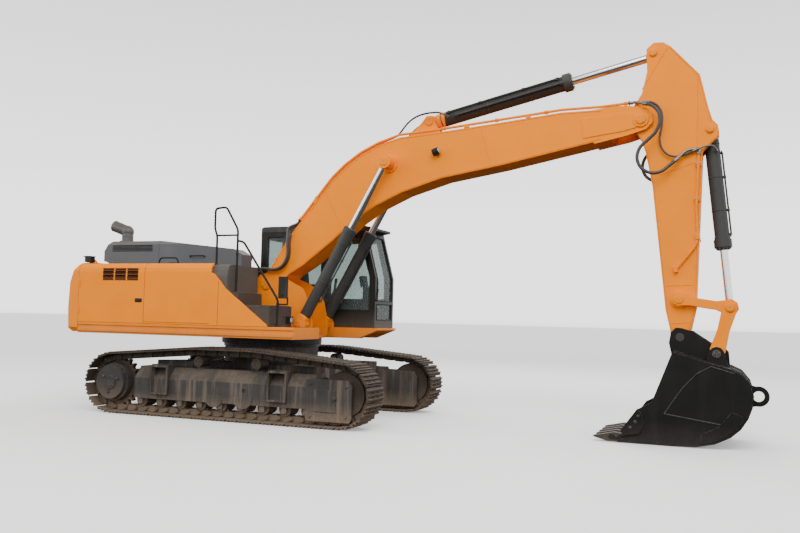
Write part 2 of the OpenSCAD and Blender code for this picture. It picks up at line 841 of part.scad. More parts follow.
module cab_glass() {
  y0 = cab_y - cab_half_w;
  y1 = cab_y + cab_half_w;
  lean = [cab_top_x - cab_x1, cab_z1 - cab_knee_z];
  function lean_x(z) = z < cab_knee_z ? cab_x1 : cab_x1 + (z - cab_knee_z) * lean.x / lean.y;
  za = cab_z0 + 500;
  zb = cab_z1 - 90;
  color(GLASS) {
    slab(y0 + 20, y0 + 20 + glass_t)
      polygon(right_window);
    slab(y1 - 20 - glass_t, y1 - 20)
      polygon(rear_left_window);
    slab(cab_y - cab_half_w + 90, cab_y + cab_half_w - 90)
      polygon([
        [cab_x1 - 20, za], [cab_x1 - 20, cab_knee_z], [lean_x(zb) - 20, zb],
        [lean_x(zb) - 20 - glass_t, zb], [cab_x1 - 20 - glass_t, cab_knee_z - 1],
        [cab_x1 - 20 - glass_t, za]
      ]);
    box(cab_x1 - 20 - glass_t, cab_x1 - 20, cab_y - cab_half_w + 90, cab_y + cab_half_w - 90,
      cab_z0 + 150, cab_z0 + 440);
    box(cab_x0 + 20, cab_x0 + 20 + glass_t, cab_y - 380, cab_y + 380, cab_z0 + 900, cab_z1 - 120);
  }
}
module cab_seat() {
  z = cab_z0 + cab_wall;
  color(BLACK) {
    box(60, 460, cab_y - 200, cab_y + 200, z, z + 380);
    box(20, 560, cab_y - 240, cab_y + 240, z + 380, z + 500);
    slab(cab_y - 230, cab_y + 230)
      polygon([
        [20, z + 490], [130, z + 490], [50, z + 1080], [-60, z + 1080]
      ]);
    slab(cab_y - 130, cab_y + 130)
      polygon([[-50, z + 1110], [40, z + 1110], [20, z + 1310], [-60, z + 1310]]);
    slab(cab_y - 40, cab_y + 40)
      polygon([[-40, z + 1070], [20, z + 1070], [10, z + 1120], [-40, z + 1120]]);
  }
}
module cab_console() {
  z = cab_z0 + cab_wall;
  color(DARK) {
    for (s = [-1, 1])
      translate([0, cab_y + s * 312, 0]) {
        box(80, 620, -50, 50, z, z + 560);
        bar([560, 0, z + 550], [590, 0, z + 800], 22);
      }
    box(1480, 1600, cab_y - 370, cab_y - 270, z, z + 700);
    for (s = [-1, 1])
      bar([1300, cab_y + s * 90, z + 2.5], [1360, cab_y + s * 90, z + 420], 16);
  }
}
door_gap = 6;
hinge_zs = [cab_z0 + 250, cab_z0 + 1300];
hinge_x = door_x0 + 16;
hinge_y = cab_y + cab_half_w + 24;
module cab_door() {
  y1 = cab_y + cab_half_w;
  d = door_gap;
  color(DARK)
    difference() {
      slab(y1 - cab_wall, y1 + 8)
        polygon([
          [door_x0 + d, door_z0 + d], [door_x1 - d, door_z0 + d], [door_x1 - d, cab_knee_z],
          [door_x1 - 190 - d, door_z1 - d], [door_x0 + d, door_z1 - d]
        ]);
      slab(y1 - cab_wall - 10, y1 + 20)
        polygon([
          [door_x0 + 90, door_z0 + 480], [door_x1 - 90, door_z0 + 480], [door_x1 - 90, cab_knee_z],
          [door_x1 - 270, door_z1 - 90], [door_x0 + 90, door_z1 - 90]
        ]);
    }
  color(DARK)
    for (z = hinge_zs) {
      translate([hinge_x, hinge_y, z + 60.3])
        cylinder(r = 16, h = 60);
      box(hinge_x, hinge_x + 30, y1, hinge_y, z + 60.3, z + 120.3);
    }
}
module cab_door_glass() {
  y1 = cab_y + cab_half_w;
  color(GLASS)
    slab(y1 - 30 - glass_t, y1 - 30)
      polygon([
        [door_x0 + 90, door_z0 + 480], [door_x1 - 90, door_z0 + 480], [door_x1 - 90, cab_knee_z],
        [door_x1 - 270, door_z1 - 90], [door_x0 + 90, door_z1 - 90]
      ]);
}

// Doors of the house
grille_x0 = weight_front + 540;
grille_step = (house_split - weight_front - 650) / 3;
door_hinge_y = upper_half_w + 6;
door_hinge_zs = [deck_top + 160, deck_top + 640];
// Round knuckles on the hinge line of a house door
module door_knuckles(x, side) {
  for (z = door_hinge_zs)
    translate([x, side * door_hinge_y, z])
      cylinder(r = 13, h = 110);
}
module pump_door() {
  color(ORANGE)
    difference() {
      skin_panel(weight_front + panel_gap, house_split - panel_gap, -1);
      for (i = [0 : 5])
        for (k = [0 : 2])
          translate([grille_x0 + k * grille_step, -upper_half_w - 10, deck_top + 760 + i * 34])
            cube([grille_step - 35, 18, 18]);
    }
  color(ORANGE)
    door_knuckles(weight_front + 22, -1);
}
left_split = -1900;
module cooler_door() {
  color(ORANGE)
    difference() {
      skin_panel(weight_front + panel_gap, left_split - panel_gap, 1);
      for (i = [0 : 9])
        box(weight_front + 210, left_split - 200, upper_half_w - 8, upper_half_w + 10,
          deck_top + 250 + i * 55, deck_top + 275 + i * 55);
    }
  color(ORANGE)
    door_knuckles(weight_front + 22, 1);
}
module filter_door() {
  color(ORANGE) {
    skin_panel(left_split + panel_gap, cab_x0 - 30, 1);
    door_knuckles(left_split + 22, 1);
  }
}

// Boom
boom_top_line = fit_boom([
  [6700, 330], [6488, 403], [5909, 631], [4969, 903], [3812, 1250], [3264, 1432], [2860, 1470],
  [2519, 1454], [2160, 1380], [1841, 1262], [681, 640], [150, 260], [0, 195]
]);
boom_low_line = fit_boom([
  [-120, 150], [-190, 0], [-130, -140], [20, -190], [452, 20], [772, 65], [1468, 255], [1976, 420],
  [2420, 505], [2963, 530], [3706, 465], [4717, 244], [5690, 64], [6311, -51], [6700, -130]
]);
boom_side = concat(boom_low_line, boom_top_line);
boom_tip_plate = fit_boom([
  [6200, -60], [6700, -150], [6990, -175], [7120, -120], [7165, 0], [7120, 130], [6900, 270],
  [6700, 360], [6200, 500]
]);
boom_void = fit_boom([
  [330, 60], [772, 105], [1468, 300], [1976, 462], [2420, 548], [2963, 572], [3706, 508],
  [4717, 286], [5690, 106], [6300, -5], [6300, 430], [5909, 588], [4969, 860], [3812, 1206],
  [3264, 1388], [2860, 1426], [2519, 1410], [2160, 1338], [1841, 1222], [700, 604], [330, 340]
]);
// Room between the tip plates for the arm, which swings past the end of the box
boom_fork = [
  [boom_len - 560, -400], [boom_len + 300, -400], [boom_len + 300, 600], [boom_len - 400, 600],
  [boom_len - 400, 10], [boom_len - 560, -110]
];
boom_doubler = [
  [boom_len - 900, 90], [boom_len - 320, -60], [boom_len + 10, -110], [boom_len + 80, -50],
  [boom_len + 80, 60], [boom_len, 120], [boom_len - 330, 220], [boom_len - 830, 400]
];
module boom() {
  w = boom_half_w;
  color(ORANGE)
    at_boom()
      difference() {
        union() {
          slab(-w, w)
            polygon(boom_side);
          pair_slab(fork_in, w)
            polygon(boom_tip_plate);
          across([0, 0], 190, -w - 4, w + 4);
          pair_across(boom_rod_pin, 150, w - 20, w + 26);
          pair_across([boom_len, 0], 120, fork_in, w + 24);
          pair_slab(w - 5, w + 12)
            polygon(boom_doubler);
          pair_slab(arm_barrel_eye / 2 + 8, arm_barrel_eye / 2 + 60)
            polygon([
              for (k = [[-500, -110], [90, -330], [95, -100], [80, 70], [-10, 120], [-110, 60]])
                arm_base_pin + k
            ]);
          across(arm_base_pin, cyl_pin_r + 6, -arm_barrel_eye / 2 - 70, arm_barrel_eye / 2 + 70);
        }
        slab(-w + 30, w - 30)
          polygon(boom_void);
        across([0, 0], foot_pin_r + pin_gap, -w - 10, w + 10);
        slab(-fork_in, fork_in)
          polygon(boom_fork);
      }
  color(ORANGE)
    at_boom()
      across([boom_len, 0], tip_pin_r, -w - 34, w + 34);
}
arm_barrel_eye = 150;
// Clamp outline standing on the line from p to q at the length x
module pipe_clamp(p, q, x) {
  slope = (q.y - p.y) / (q.x - p.x);
  z = p.y + (x - p.x) * slope;
  polygon([
    [x - 40, z - 40 * slope + 0.3], [x + 40, z + 40 * slope + 0.3],
    [x + 40, z + 40 * slope + 62], [x - 40, z - 40 * slope + 62]
  ]);
}
pipe_y = [190, 252];
pipe_start = [
  [1000, 858], [1780, 1282], [1860, 1320], [2140, 1422], [2500, 1500], [2862, 1518]
];
pipe_end = fit_boom([
  [3270, 1480], [3826, 1298], [5900, 682], [5960, 662], [6480, 458], [6540, 437], [6900, 318]
]);
module boom_pipes() {
  color(DARK)
    at_boom()
      for (s = [-1, 1]) {
        hose([for (q = concat(pipe_start, pipe_end)) [q.x, s * pipe_y[1], q.y]], 22, 12);
        hose([for (q = concat(pipe_start, [[3100, 1505]])) [q.x, s * pipe_y[0], q.y]], 22, 12);
      }
  color(DARK)
    at_boom() {
      pair_slab(160, 282)
        pipe_clamp(boom_top_line[10], boom_top_line[9], 1400);
      for (k = [[4, 4400], [3, 5400]])
        pair_slab(222, 282)
          pipe_clamp(boom_top_line[k[0]], boom_top_line[k[0] - 1], boom_x(k[1]));
    }
}
module boom_lamp() {
  color(DARK)
    at_boom() {
      translate([0, -boom_half_w - 72, 905])
        rod_x(3728, 3832, 58);
      box(3760, 3810, -boom_half_w - 22, -boom_half_w, 880, 930);
    }
}

// Cylinders
boom_rod_at = in_boom(boom_rod_pin);
boom_cyl_len = norm(boom_rod_at - boom_base);
boom_barrel_len = 1830;
boom_eye_half = boom_barrel_r - 2;
module boom_barrels() {
  color(DARK)
    for (s = [-1, 1])
      translate([0, s * boom_cyl_y, 0])
        between(boom_base, boom_rod_at)
          difference() {
            union() {
              rod_x(90, boom_barrel_len, boom_barrel_r);
              rod_x(boom_barrel_len - 150, boom_barrel_len + 40, boom_barrel_r + 13);
              across([0, 0], 110, -boom_eye_half, boom_eye_half);
              box(0, 140, -boom_eye_half, boom_eye_half, -80, 80);
            }
            across([0, 0], cyl_pin_r + pin_gap, -300, 300);
            rod_x(300, boom_barrel_len + 100, boom_rod_r + 0.6);
          }
}
module boom_rods() {
  color(CHROME)
    for (s = [0, 1])
      mirror([0, s, 0])
        translate([0, boom_cyl_y, 0])
          between(boom_base, boom_rod_at) {
            rod_x(1300, boom_cyl_len - 90, boom_rod_r);
            across([boom_cyl_len, 0], 115, -100, 100);
            across([boom_cyl_len, 0], 60, 30 + boom_half_w - boom_cyl_y, -90);
          }
}
arm_base_at = in_boom(arm_base_pin);
arm_rod_at = in_arm(arm_rod_pin);
arm_cyl_len = norm(arm_rod_at - arm_base_at);
arm_barrel_len = 2420;
module arm_barrel() {
  h = arm_barrel_eye / 2;
  color(DARK)
    between(arm_base_at, arm_rod_at)
      difference() {
        union() {
          rod_x(120, arm_barrel_len, arm_barrel_r);
          rod_x(arm_barrel_len - 150, arm_barrel_len + 40, arm_barrel_r + 2);
          across([0, 0], 125, -h, h);
          box(0, 180, -h, h, -90, 90);
        }
        across([0, 0], cyl_pin_r + 6 + pin_gap, -300, 300);
        rod_x(320, arm_barrel_len + 100, arm_rod_r + 0.6);
      }
}
arm_rod_eye = 130;
module arm_rod() {
  color(CHROME)
    between(arm_base_at, arm_rod_at) {
      rod_x(1480, arm_cyl_len - 90, arm_rod_r);
      across([arm_cyl_len, 0], 120, -arm_rod_eye / 2, arm_rod_eye / 2);
    }
}
bucket_base_at = in_arm(bucket_base_pin);
bucket_cyl_len = norm(link_pin - bucket_base_at);
bucket_barrel_len = 1760;
bucket_eye_w = 130;
module bucket_barrel() {
  h = bucket_eye_w / 2;
  color(DARK)
    between(bucket_base_at, link_pin)
      difference() {
        union() {
          rod_x(110, bucket_barrel_len, bucket_barrel_r);
          rod_x(bucket_barrel_len - 140, bucket_barrel_len + 40, bucket_barrel_r + 8);
          across([0, 0], 110, -h, h);
          box(0, 160, -h, h, -80, 80);
        }
        across([0, 0], cyl_pin_r + pin_gap, -300, 300);
        rod_x(300, bucket_barrel_len + 100, bucket_rod_r + 0.6);
      }
}
bucket_rod_eye = 120;
module bucket_rod() {
  color(CHROME)
    between(bucket_base_at, link_pin) {
      rod_x(980, bucket_cyl_len - 80, bucket_rod_r);
      across([bucket_cyl_len, 0], 105, -bucket_rod_eye / 2, bucket_rod_eye / 2);
    }
}

// Arm
arm_side = [
  [-1080, 262], [-720, 210], [-400, 75], [-190, -120], [-60, -185], [90, -170], [260, -60],
  [520, -20], [1053, -10], [arm_len - 430, -140], [arm_len - 130, -125], [arm_len + 10, -135],
  [arm_len + 110, -80],
  [arm_len + 135, 0], [arm_len + 110, 80], [arm_len - 40, 150], [arm_len - 400, 300], [687, 790],
  [520, 1010], [430, 1070], [330, 1070], [240, 1010], [38, 985], [-487, 955], [-1025, 620],
  [-1120, 520], [-1150, 380]
];
arm_void = [
  [-600, 300], [-330, 180], [560, 40], [1053, 50], [arm_len - 630, -60], [arm_len - 630, 300],
  [687, 740],
  [200, 860], [-300, 860], [-600, 640]
];
module arm() {
  w = arm_half_w;
  slot = arm_rod_eye / 2 + 8;
  cyl_slot = bucket_eye_w / 2 + 8;
  color(ORANGE)
    at_arm()
      difference() {
        union() {
          slab(-w, w)
            polygon(arm_side);
          across([0, 0], 185, -w - 6, w + 6);
          pair_across(tipping_pin, 120, w - 10, tip_link_in - 5);
          across(tipping_pin, wrist_pin_r, -tip_link_out - 2, tip_link_out + 2);
          pair_across(arm_rod_pin, 64, w - 10, w + 20);
          pair_across(bucket_base_pin, 62, w - 10, w + 20);
          across([arm_len, 0], 130, -w - 6, w + 6);
        }
        slab(-w + 30, w - 30)
          polygon(arm_void);
        across([0, 0], tip_pin_r + pin_gap, -w - 20, w + 20);
        across([arm_len, 0], wrist_pin_r + pin_gap, -w - 20, w + 20);
        slab(-slot, slot)
          polygon([[-1400, -200], [-780, -200], [-700, 330], [-740, 700], [-800, 1200], [-1400, 1200]]);
        slab(-cyl_slot, cyl_slot)
          polygon([[180, 900], [230, 790], [480, 740], [900, 900], [900, 1300], [180, 1300]]);
        slab(-bucket_barrel_r - 10, bucket_barrel_r + 10)
          polygon([[455, 830], [480, 740], [700, 690], [900, 900], [900, 1300], [455, 1300]]);
      }
  color(ORANGE)
    at_arm()
      across(bucket_base_pin, cyl_pin_r, -w, w);
}
module arm_pipes() {
  w = arm_half_w;
  color(DARK)
    at_arm()
      for (s = [-1, 1])
        bar([720, s * (w + 34), 730], [1500, s * (w + 34), 560], 20);
  color(DARK)
    at_arm()
      for (x = [860, 1380])
        pair_slab(w + 0.3, w + 48)
          translate([x, 730 - (x - 720) * 17 / 78])
            square([60, 72], center = true);
}
module tipping_links() {
  span = link_pin - in_arm(tipping_pin);
  len = norm(span);
  color(ORANGE)
    between(in_arm(tipping_pin), link_pin)
      both_sides()
        difference() {
          union() {
            slab(tip_link_in, tip_link_out)
              polygon([
                [-95, 0], [-68, -68], [0, -96], [75, -76], [170, -62], [len - 200, -62],
                [len - 92, -92], [len, -125], [len + 88, -88], [len + 125, 0], [len + 88, 88],
                [len, 125], [len - 92, 92], [len - 200, 62], [170, 62], [75, 76], [0, 96], [-68, 68]
              ]);
            across([len, 0], 60, bucket_rod_eye / 2 + side_gap, tip_link_in + 5);
          }
          across([0, 0], wrist_pin_r + pin_gap, 0, 600);
        }
}
module bucket_link() {
  ear = wrist + bucket_ear;
  len = norm(link_pin - ear);
  color(ORANGE)
    between(ear, link_pin)
      both_sides()
        difference() {
          union() {
            slab(link_in, link_out)
              polygon([
                [-50, -95], [60, -110], [len / 2, -85], [len - 40, -105], [len + 60, -80],
                [len + 100, 0], [len + 60, 80], [len - 40, 105], [len / 2, 85], [60, 110],
                [-50, 95], [-100, 0]
              ]);
            across([len, 0], 70, link_in, link_out + 16);
          }
          across([0, 0], wrist_pin_r + pin_gap, 0, 600);
        }
}

// Bucket, in a frame with the bucket pin at its origin
bucket_back = [
  [-77, -205], [300, -318], [700, -425], [860, -500], [974, -640], [1000, -800], [985, -950],
  [930, -1110], [833, -1264], [690, -1395], [500, -1490], [250, -1545], [-70, -1556],
  [-760, -1552]
];
bucket_front = [[-760, -1500], [-560, -1060], [-360, -945]];
lip_t = 50;
module bucket() {
  w = bucket_half_w;
  t = bucket_t;
  n = len(bucket_back);
  outer = bucket_back;
  inner = [
    for (i = [0 : n - 1])
      let (
        a = outer[max(i - 1, 0)],
        b = outer[min(i + 1, n - 1)],
        d = unit([(b - a).y, -(b - a).x])
      ) outer[i] + d * t
  ];
  color(BLACK)
    at_bucket() {
      slab(-w, w)
        polygon(concat(outer, [for (i = [n - 1 : -1 : 0]) inner[i]]));
      pair_slab(w - t, w)
        polygon(concat(outer, bucket_front));
      slab(-w, w)
        polygon([
          [-560, -1552], [-560, -1552 + lip_t], [-800, -1552 + lip_t], [-840, -1530], [-840, -1552]
        ]);
      pair_slab(ear_in, ear_out)
        polygon([
          [-120, -260], [-158, -90], [-130, 70], [-60, 140], [20, 135], [170, 95], [420, -70],
          [600, -120], [680, -210], [700, -440], [300, -340], [-60, -240]
        ]);
      pair_across([0, 0], wrist_pin_r, -60, ear_out + 3);
      pair_across(bucket_ear, wrist_pin_r, -60, cheek_out + 8);
      pair_slab(link_out + side_gap, cheek_out)
        polygon([
          [380, -355], [405, -200], [450, -145], [515, -122], [580, -145], [620, -200], [645, -300],
          [690, -440]
        ]);
      pair_slab(w, w + 34)
        polygon([[-800, -1385], [-560, -1050], [-500, -1120], [-470, -1250], [-520, -1405], [-750, -1450]]);
    }
}
module bucket_teeth() {
  w = bucket_half_w - bucket_t - 70;
  color(STEEL)
    at_bucket()
      for (i = [0 : tooth_count - 1])
        translate([0, -w + i * 2 * w / (tooth_count - 1), 0])
          difference() {
            slab(-65, 65)
              polygon([
                [-650, -1552], [-1000, -1552], [-1200, -1498], [-1200, -1486], [-900, -1420],
                [-720, -1440], [-650, -1490]
              ]);
            slab(-70, 70)
              polygon([
                [-560, -1552], [-560, -1552 + lip_t], [-800, -1552 + lip_t], [-840, -1530],
                [-840, -1553], [-560, -1553]
              ]);
          }
}
module bucket_eye() {
  c = [1090, -842];
  color(BLACK)
    at_bucket()
      difference() {
        union() {
          across(c, lift_eye_r + 70, -28, 28);
          slab(-28, 28)
            polygon([[985, -680], [960, -1010], [1080, -980], [1080, -705]]);
        }
        across(c, lift_eye_r, -40, 40);
        slab(-60, 60)
          polygon(concat(bucket_back, [[0, -900]]));
      }
}

// Hoses, each starting and ending in line with the pipe or port that it joins
foot_hose_end = in_boom([1000, 858]);
foot_hose_y = pipe_y;
hose_r = 26;
foot_hose_dir = unit(turn([820, 446], boom_angle));
boom_hose_end = in_boom([boom_x(6900), 318]);
boom_hose_dir = unit(turn([400, -130], boom_angle));
arm_hose_end = in_arm([720, 730]);
arm_hose_dir = unit(turn([780, -170], arm_angle));
function at_y(p, y) = [p.x, y, p.y];
module boom_foot_hoses() {
  e = foot_hose_end;
  z = deck_top + 740;
  color(BLACK)
    for (s = [-1, 1])
      for (k = [0, 1])
        hose([
          [-497, s * (150 + k * 60), z - 30], [-460, s * (150 + k * 60), z - 30],
          [-425, s * (152 + k * 60), z - 25], [-375, s * (175 + k * 60), z + 22],
          [-320, s * (210 + k * 60), z + 90], [-265, s * (252 + k * 60), z + 162],
          [-205, s * (292 + k * 60), z + 225], [-130, s * (318 + k * 60), z + 270],
          [-50, s * (330 + k * 60), z + 290], [130, s * (332 + k * 60), z + 272],
          [330, s * (332 + k * 60), z + 300], [470, s * (332 + k * 60), z + 500],
          [e.x - 165, s * (332 + k * 75), z + 800], [e.x - 180, s * (280 + k * 75), z + 1010],
          at_y(e - foot_hose_dir * 90, s * foot_hose_y[k]), at_y(e - foot_hose_dir * 0.3, s * foot_hose_y[k])
        ], hose_r);
}
// From the inner pipes over to the ports of the arm cylinder, in the boom's own frame
module arm_cylinder_hoses() {
  q = arm_base_pin;
  color(BLACK)
    at_boom()
      for (s = [-1, 1])
        hose([
          [3100.3, s * pipe_y[0], 1505], [3150, s * 190, 1503], [3210, s * 191, 1508],
          [3290, s * 195, 1538], [3380, s * 202, 1585], [3480, s * 215, 1625],
          [3590, s * 232, 1645], [3700, s * 250, 1642], [q.x, s * 266, q.y + 120],
          [q.x + 110, s * 274, q.y + 85], [q.x + 220, s * 266, q.y + 40],
          [q.x + 295, s * 238, q.y - 10], [q.x + 323, s * 195, q.y - 45],
          [q.x + 326, s * 155, q.y - 52], [q.x + 326, s * (arm_barrel_r + 0.3), q.y - 52]
        ], 16);
}
module arm_hoses() {
  z = arm_half_w + 34;
  b = boom_hose_end;
  e = arm_hose_end;
  color(BLACK)
    for (s = [-1, 1])
      hose([
        at_y(b + boom_hose_dir * 0.3, s * pipe_y[1]), at_y(b + boom_hose_dir * 110, s * pipe_y[1]),
        [b.x + 300, s * 370, b.y - 55], [b.x + 430, s * 410, b.y - 150],
        [b.x + 490, s * 420, b.y - 290], [b.x + 420, s * 420, b.y - 510],
        [b.x + 230, s * 420, b.y - 750], [b.x + 160, s * 420, b.y - 940],
        [b.x + 250, s * 410, b.y - 1090], [b.x + 400, s * 390, b.y - 1130],
        [b.x + 570, s * 350, b.y - 1060], [e.x - 300, s * 310, e.y - 60],
        [e.x - 170, s * (z + 25), e.y + 60], at_y(e - arm_hose_dir * 80, s * z),
        at_y(e - arm_hose_dir * 0.3, s * z)
      ], hose_r);
}

carbody();
track_frames();
track_loops();
final_drives();
drive_sprockets();
idlers();
bottom_rollers();
top_rollers();
track_steps();
swing_bearing();
tow_lugs();
upper_frame();
counterweight();
engine();
house_frame();
side_covers();
fuel_tank();
storage_box();
hood_cover();
control_valve();
handrails();
side_mirror();
work_lamps();
cab_shell();
cab_roof();
cab_glass();
cab_seat();
cab_console();
engine_hood();
exhaust_stack();
cab_door();
cab_door_glass();
pump_door();
cooler_door();
filter_door();
boom();
boom_pipes();
boom_lamp();
boom_barrels();
boom_rods();
arm_barrel();
arm_rod();
arm();
arm_pipes();
bucket_barrel();
bucket_rod();
tipping_links();
bucket_link();
bucket();
bucket_teeth();
bucket_eye();
boom_foot_hoses();
arm_cylinder_hoses();
arm_hoses();
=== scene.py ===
"""Looks of a crawler excavator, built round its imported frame.

Metres, with X forward along the boom, Y to the cab side and Z up, as in the frame.
"""

import math

import bmesh
import bpy
from mathutils import Matrix, Vector


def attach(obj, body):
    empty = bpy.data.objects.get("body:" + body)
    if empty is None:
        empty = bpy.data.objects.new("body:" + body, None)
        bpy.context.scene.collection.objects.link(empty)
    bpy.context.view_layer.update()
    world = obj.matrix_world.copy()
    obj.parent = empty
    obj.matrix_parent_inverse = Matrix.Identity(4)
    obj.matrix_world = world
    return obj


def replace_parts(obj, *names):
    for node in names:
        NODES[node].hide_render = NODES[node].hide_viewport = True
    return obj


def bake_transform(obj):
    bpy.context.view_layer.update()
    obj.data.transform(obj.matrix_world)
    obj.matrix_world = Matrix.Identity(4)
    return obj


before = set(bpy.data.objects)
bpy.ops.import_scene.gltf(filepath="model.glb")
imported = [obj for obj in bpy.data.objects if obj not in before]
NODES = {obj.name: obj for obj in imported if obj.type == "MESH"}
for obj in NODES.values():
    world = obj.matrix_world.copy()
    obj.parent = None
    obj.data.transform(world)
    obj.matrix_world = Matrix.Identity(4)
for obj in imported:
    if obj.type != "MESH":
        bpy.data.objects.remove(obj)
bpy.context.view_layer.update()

# Sizes shared with the frame
TRACK_Y = 1.445
END_R = 0.525
HALF_BASE = 2.2
LINK_H = 0.104
SHOE_W = 0.6
SHOE_T = 0.02
GROUSER_H = 0.026
SHOE_COUNT = 53
PITCH_R = END_R - GROUSER_H - SHOE_T - LINK_H / 2
TOP_ROLLERS = (-0.5, 0.62)
TOP_ROLLER_Z = 0.94
TOP_PIN_RISE = 0.564
DECK_TOP = 1.55
DECK_FRONT = 1.24
BOX_TOP = DECK_TOP + 0.35
STEP_TOP = DECK_TOP + 0.56
SIDE_Y = 1.5
PLATE_TOP = 2.585
WEIGHT_FRONT = -3.16
HOOD_REAR = -3.15
HOOD_TOP = 3.07
HOOD_HALF = 0.76
RAIL_Y = -1.3
CAB_Y = 1.053
CAB_HALF = 0.447
CAB_X0, CAB_X1 = -0.66, 1.76
CAB_Z0, CAB_Z1 = 1.55, 3.34
CAB_KNEE_Z = 2.48
CAB_TOP_X = 1.53
CAB_MIDDLE = Vector((0, CAB_Y, CAB_Z0 + 0.06))
DOOR_X0, DOOR_X1 = 0.33, 1.67
DOOR_Z0, DOOR_Z1 = 1.61, 3.27
DOOR_FACE = CAB_Y + CAB_HALF + 0.008
FOOT = Vector((0.03, 0, 2.29))
BOOM_ANGLE = math.radians(21.87)
BOOM_LEN = 6.98
BOOM_HALF = 0.275
ARM_ANGLE = math.radians(-80)
ARM_LEN = 3.38
ARM_HALF = 0.21
BUCKET_HALF = 0.74

X_AXIS = Vector((1, 0, 0))
Y_AXIS = Vector((0, 1, 0))
Z_AXIS = Vector((0, 0, 1))


def turn(x, z, angle):
    """Point turned about Y, up from X towards Z."""
    c, s = math.cos(angle), math.sin(angle)
    return Vector((x * c - z * s, 0, x * s + z * c))


def in_boom(x, z, y=0.0):
    """Point given along and above the boom's pin line."""
    return FOOT + turn(x, z, BOOM_ANGLE) + Vector((0, y, 0))


TIP = in_boom(BOOM_LEN, 0)


def in_arm(x, z, y=0.0):
    """Point given along and above the arm's pin line."""
    return TIP + turn(x, z, ARM_ANGLE) + Vector((0, y, 0))


# Pins
WRIST = in_arm(ARM_LEN, 0)
BOOM_BASE = Vector((0.82, 0, 1.62))
BOOM_ROD = in_boom(2.927, 1.077)
ARM_BASE = in_boom(3.81, 1.5)
ARM_ROD = in_arm(-1.0, 0.352)
BUCKET_BASE = in_arm(0.37, 0.951)
TIPPING = in_arm(ARM_LEN - 0.554, 0.084)
EAR = WRIST + Vector((0.515, 0, -0.228))
LINK_PIN = WRIST + Vector((0.698, 0, 0.454))


def add(name, data):
    """Object with this data, linked into the scene."""
    thing = bpy.data.objects.new(name, data)
    bpy.context.scene.collection.objects.link(thing)
    return thing


class Graph:
    """Small helper round the shader nodes of a material or of the world."""

    def __init__(self, owner, end="Principled BSDF"):
        owner.use_nodes = True
        self.owner = owner
        self.tree = owner.node_tree
        self.end = self.tree.nodes[end]
        self.coord = self.node("TexCoord").outputs

    def put(self, socket, value):
        if isinstance(value, bpy.types.NodeSocket):
            self.tree.links.new(value, socket)
        elif isinstance(value, tuple) and len(value) == 3 and socket.type == "RGBA":
            socket.default_value = (*value, 1)
        else:
            socket.default_value = value

    def set(self, node, **inputs):
        """Give a node its inputs; _ in a name stands for a space."""
        for name, value in inputs.items():
            self.put(node.inputs[name.replace("_", " ")], value)
        return node

    def node(self, kind, **inputs):
        return self.set(self.tree.nodes.new("ShaderNode" + kind), **inputs)

    def noise(self, scale, detail, stretch=(1, 1, 1)):
        place = self.node("Mapping", Vector=self.coord["Object"], Scale=stretch).outputs["Vector"]
        return self.node("TexNoise", Vector=place, Scale=scale, Detail=detail, Roughness=0.62).outputs["Fac"]

    def math(self, operation, a, b=0.0, clamp=False):
        node = self.node("Math")
        node.operation = operation
        node.use_clamp = clamp
        self.put(node.inputs[0], a)
        self.put(node.inputs[1], b)
        return node.outputs[0]

    def times(self, a, b, clamp=False):
        return self.math("MULTIPLY", a, b, clamp)

    def plus(self, a, b, clamp=False):
        return self.math("ADD", a, b, clamp)

    def less(self, a, b):
        return self.math("SUBTRACT", a, b)

    def far(self, x, y):
        """Distance from the place where both are 0."""
        return self.math("SQRT", self.plus(self.times(x, x), self.times(y, y)))

    def span(self, value, low, high, start=0.0, end=1.0):
        """Value moved from the range low to high into the range start to end."""
        limits = {"From_Min": low, "From_Max": high, "To_Min": start, "To_Max": end}
        return self.node("MapRange", Value=value, **limits).outputs["Result"]

    def mix(self, share, a, b):
        node = self.node("Mix")
        node.data_type = "RGBA"
        for socket, value in ((0, share), (6, a), (7, b)):
            self.put(node.inputs[socket], value)
        return node.outputs[2]

    def split(self, vector):
        return self.node("SeparateXYZ", Vector=vector).outputs

    def edges(self, radius):
        """Share of each place that lies on a sharp edge, and the rounded normal."""
        bevel = self.node("Bevel", Radius=radius)
        bevel.samples = 4
        dot = self.node("VectorMath")
        dot.operation = "DOT_PRODUCT"
        self.put(dot.inputs[0], bevel.outputs[0])
        self.put(dot.inputs[1], self.node("NewGeometry").outputs["Normal"])
        return self.span(dot.outputs["Value"], 0.985, 0.88), bevel.outputs[0]

    def bump(self, height, strength, distance=0.004, normal=None):
        node = self.node("Bump", Height=height, Strength=strength, Distance=distance)
        if normal is not None:
            self.put(node.inputs["Normal"], normal)
        self.set(self.end, Normal=node.outputs["Normal"])


# Stage

CAMERA_PLACE = Vector((7.8216, -13.5586, 1.7514))
YAW = math.radians(21.52)
PITCH = math.radians(3.25)
ROLL = math.radians(1.35)
BELOW, HORIZON, ZENITH = 0.12, 2.4, 0.9
FLOOR_HALF = 260
FLOOR_GLOW, FAR_GLOW = 0.25, 0.42


def make_camera():
    """Camera fitted to the photograph."""
    back = Vector((math.sin(YAW) * math.cos(PITCH), -math.cos(YAW) * math.cos(PITCH), -math.sin(PITCH)))
    right = (-back).cross(Z_AXIS).normalized()
    up = right.cross(-back)
    side = math.cos(ROLL) * right + math.sin(ROLL) * up
    top = -math.sin(ROLL) * right + math.cos(ROLL) * up
    data = bpy.data.cameras.new("camera")
    data.sensor_width = 36
    data.lens = 38.0
    data.shift_y = 0.0041
    data.clip_end = 400
    camera = add("camera", data)
    place = Matrix((side, top, back)).transposed().to_4x4()
    place.translation = CAMERA_PLACE
    camera.matrix_world = place
    bpy.context.scene.camera = camera


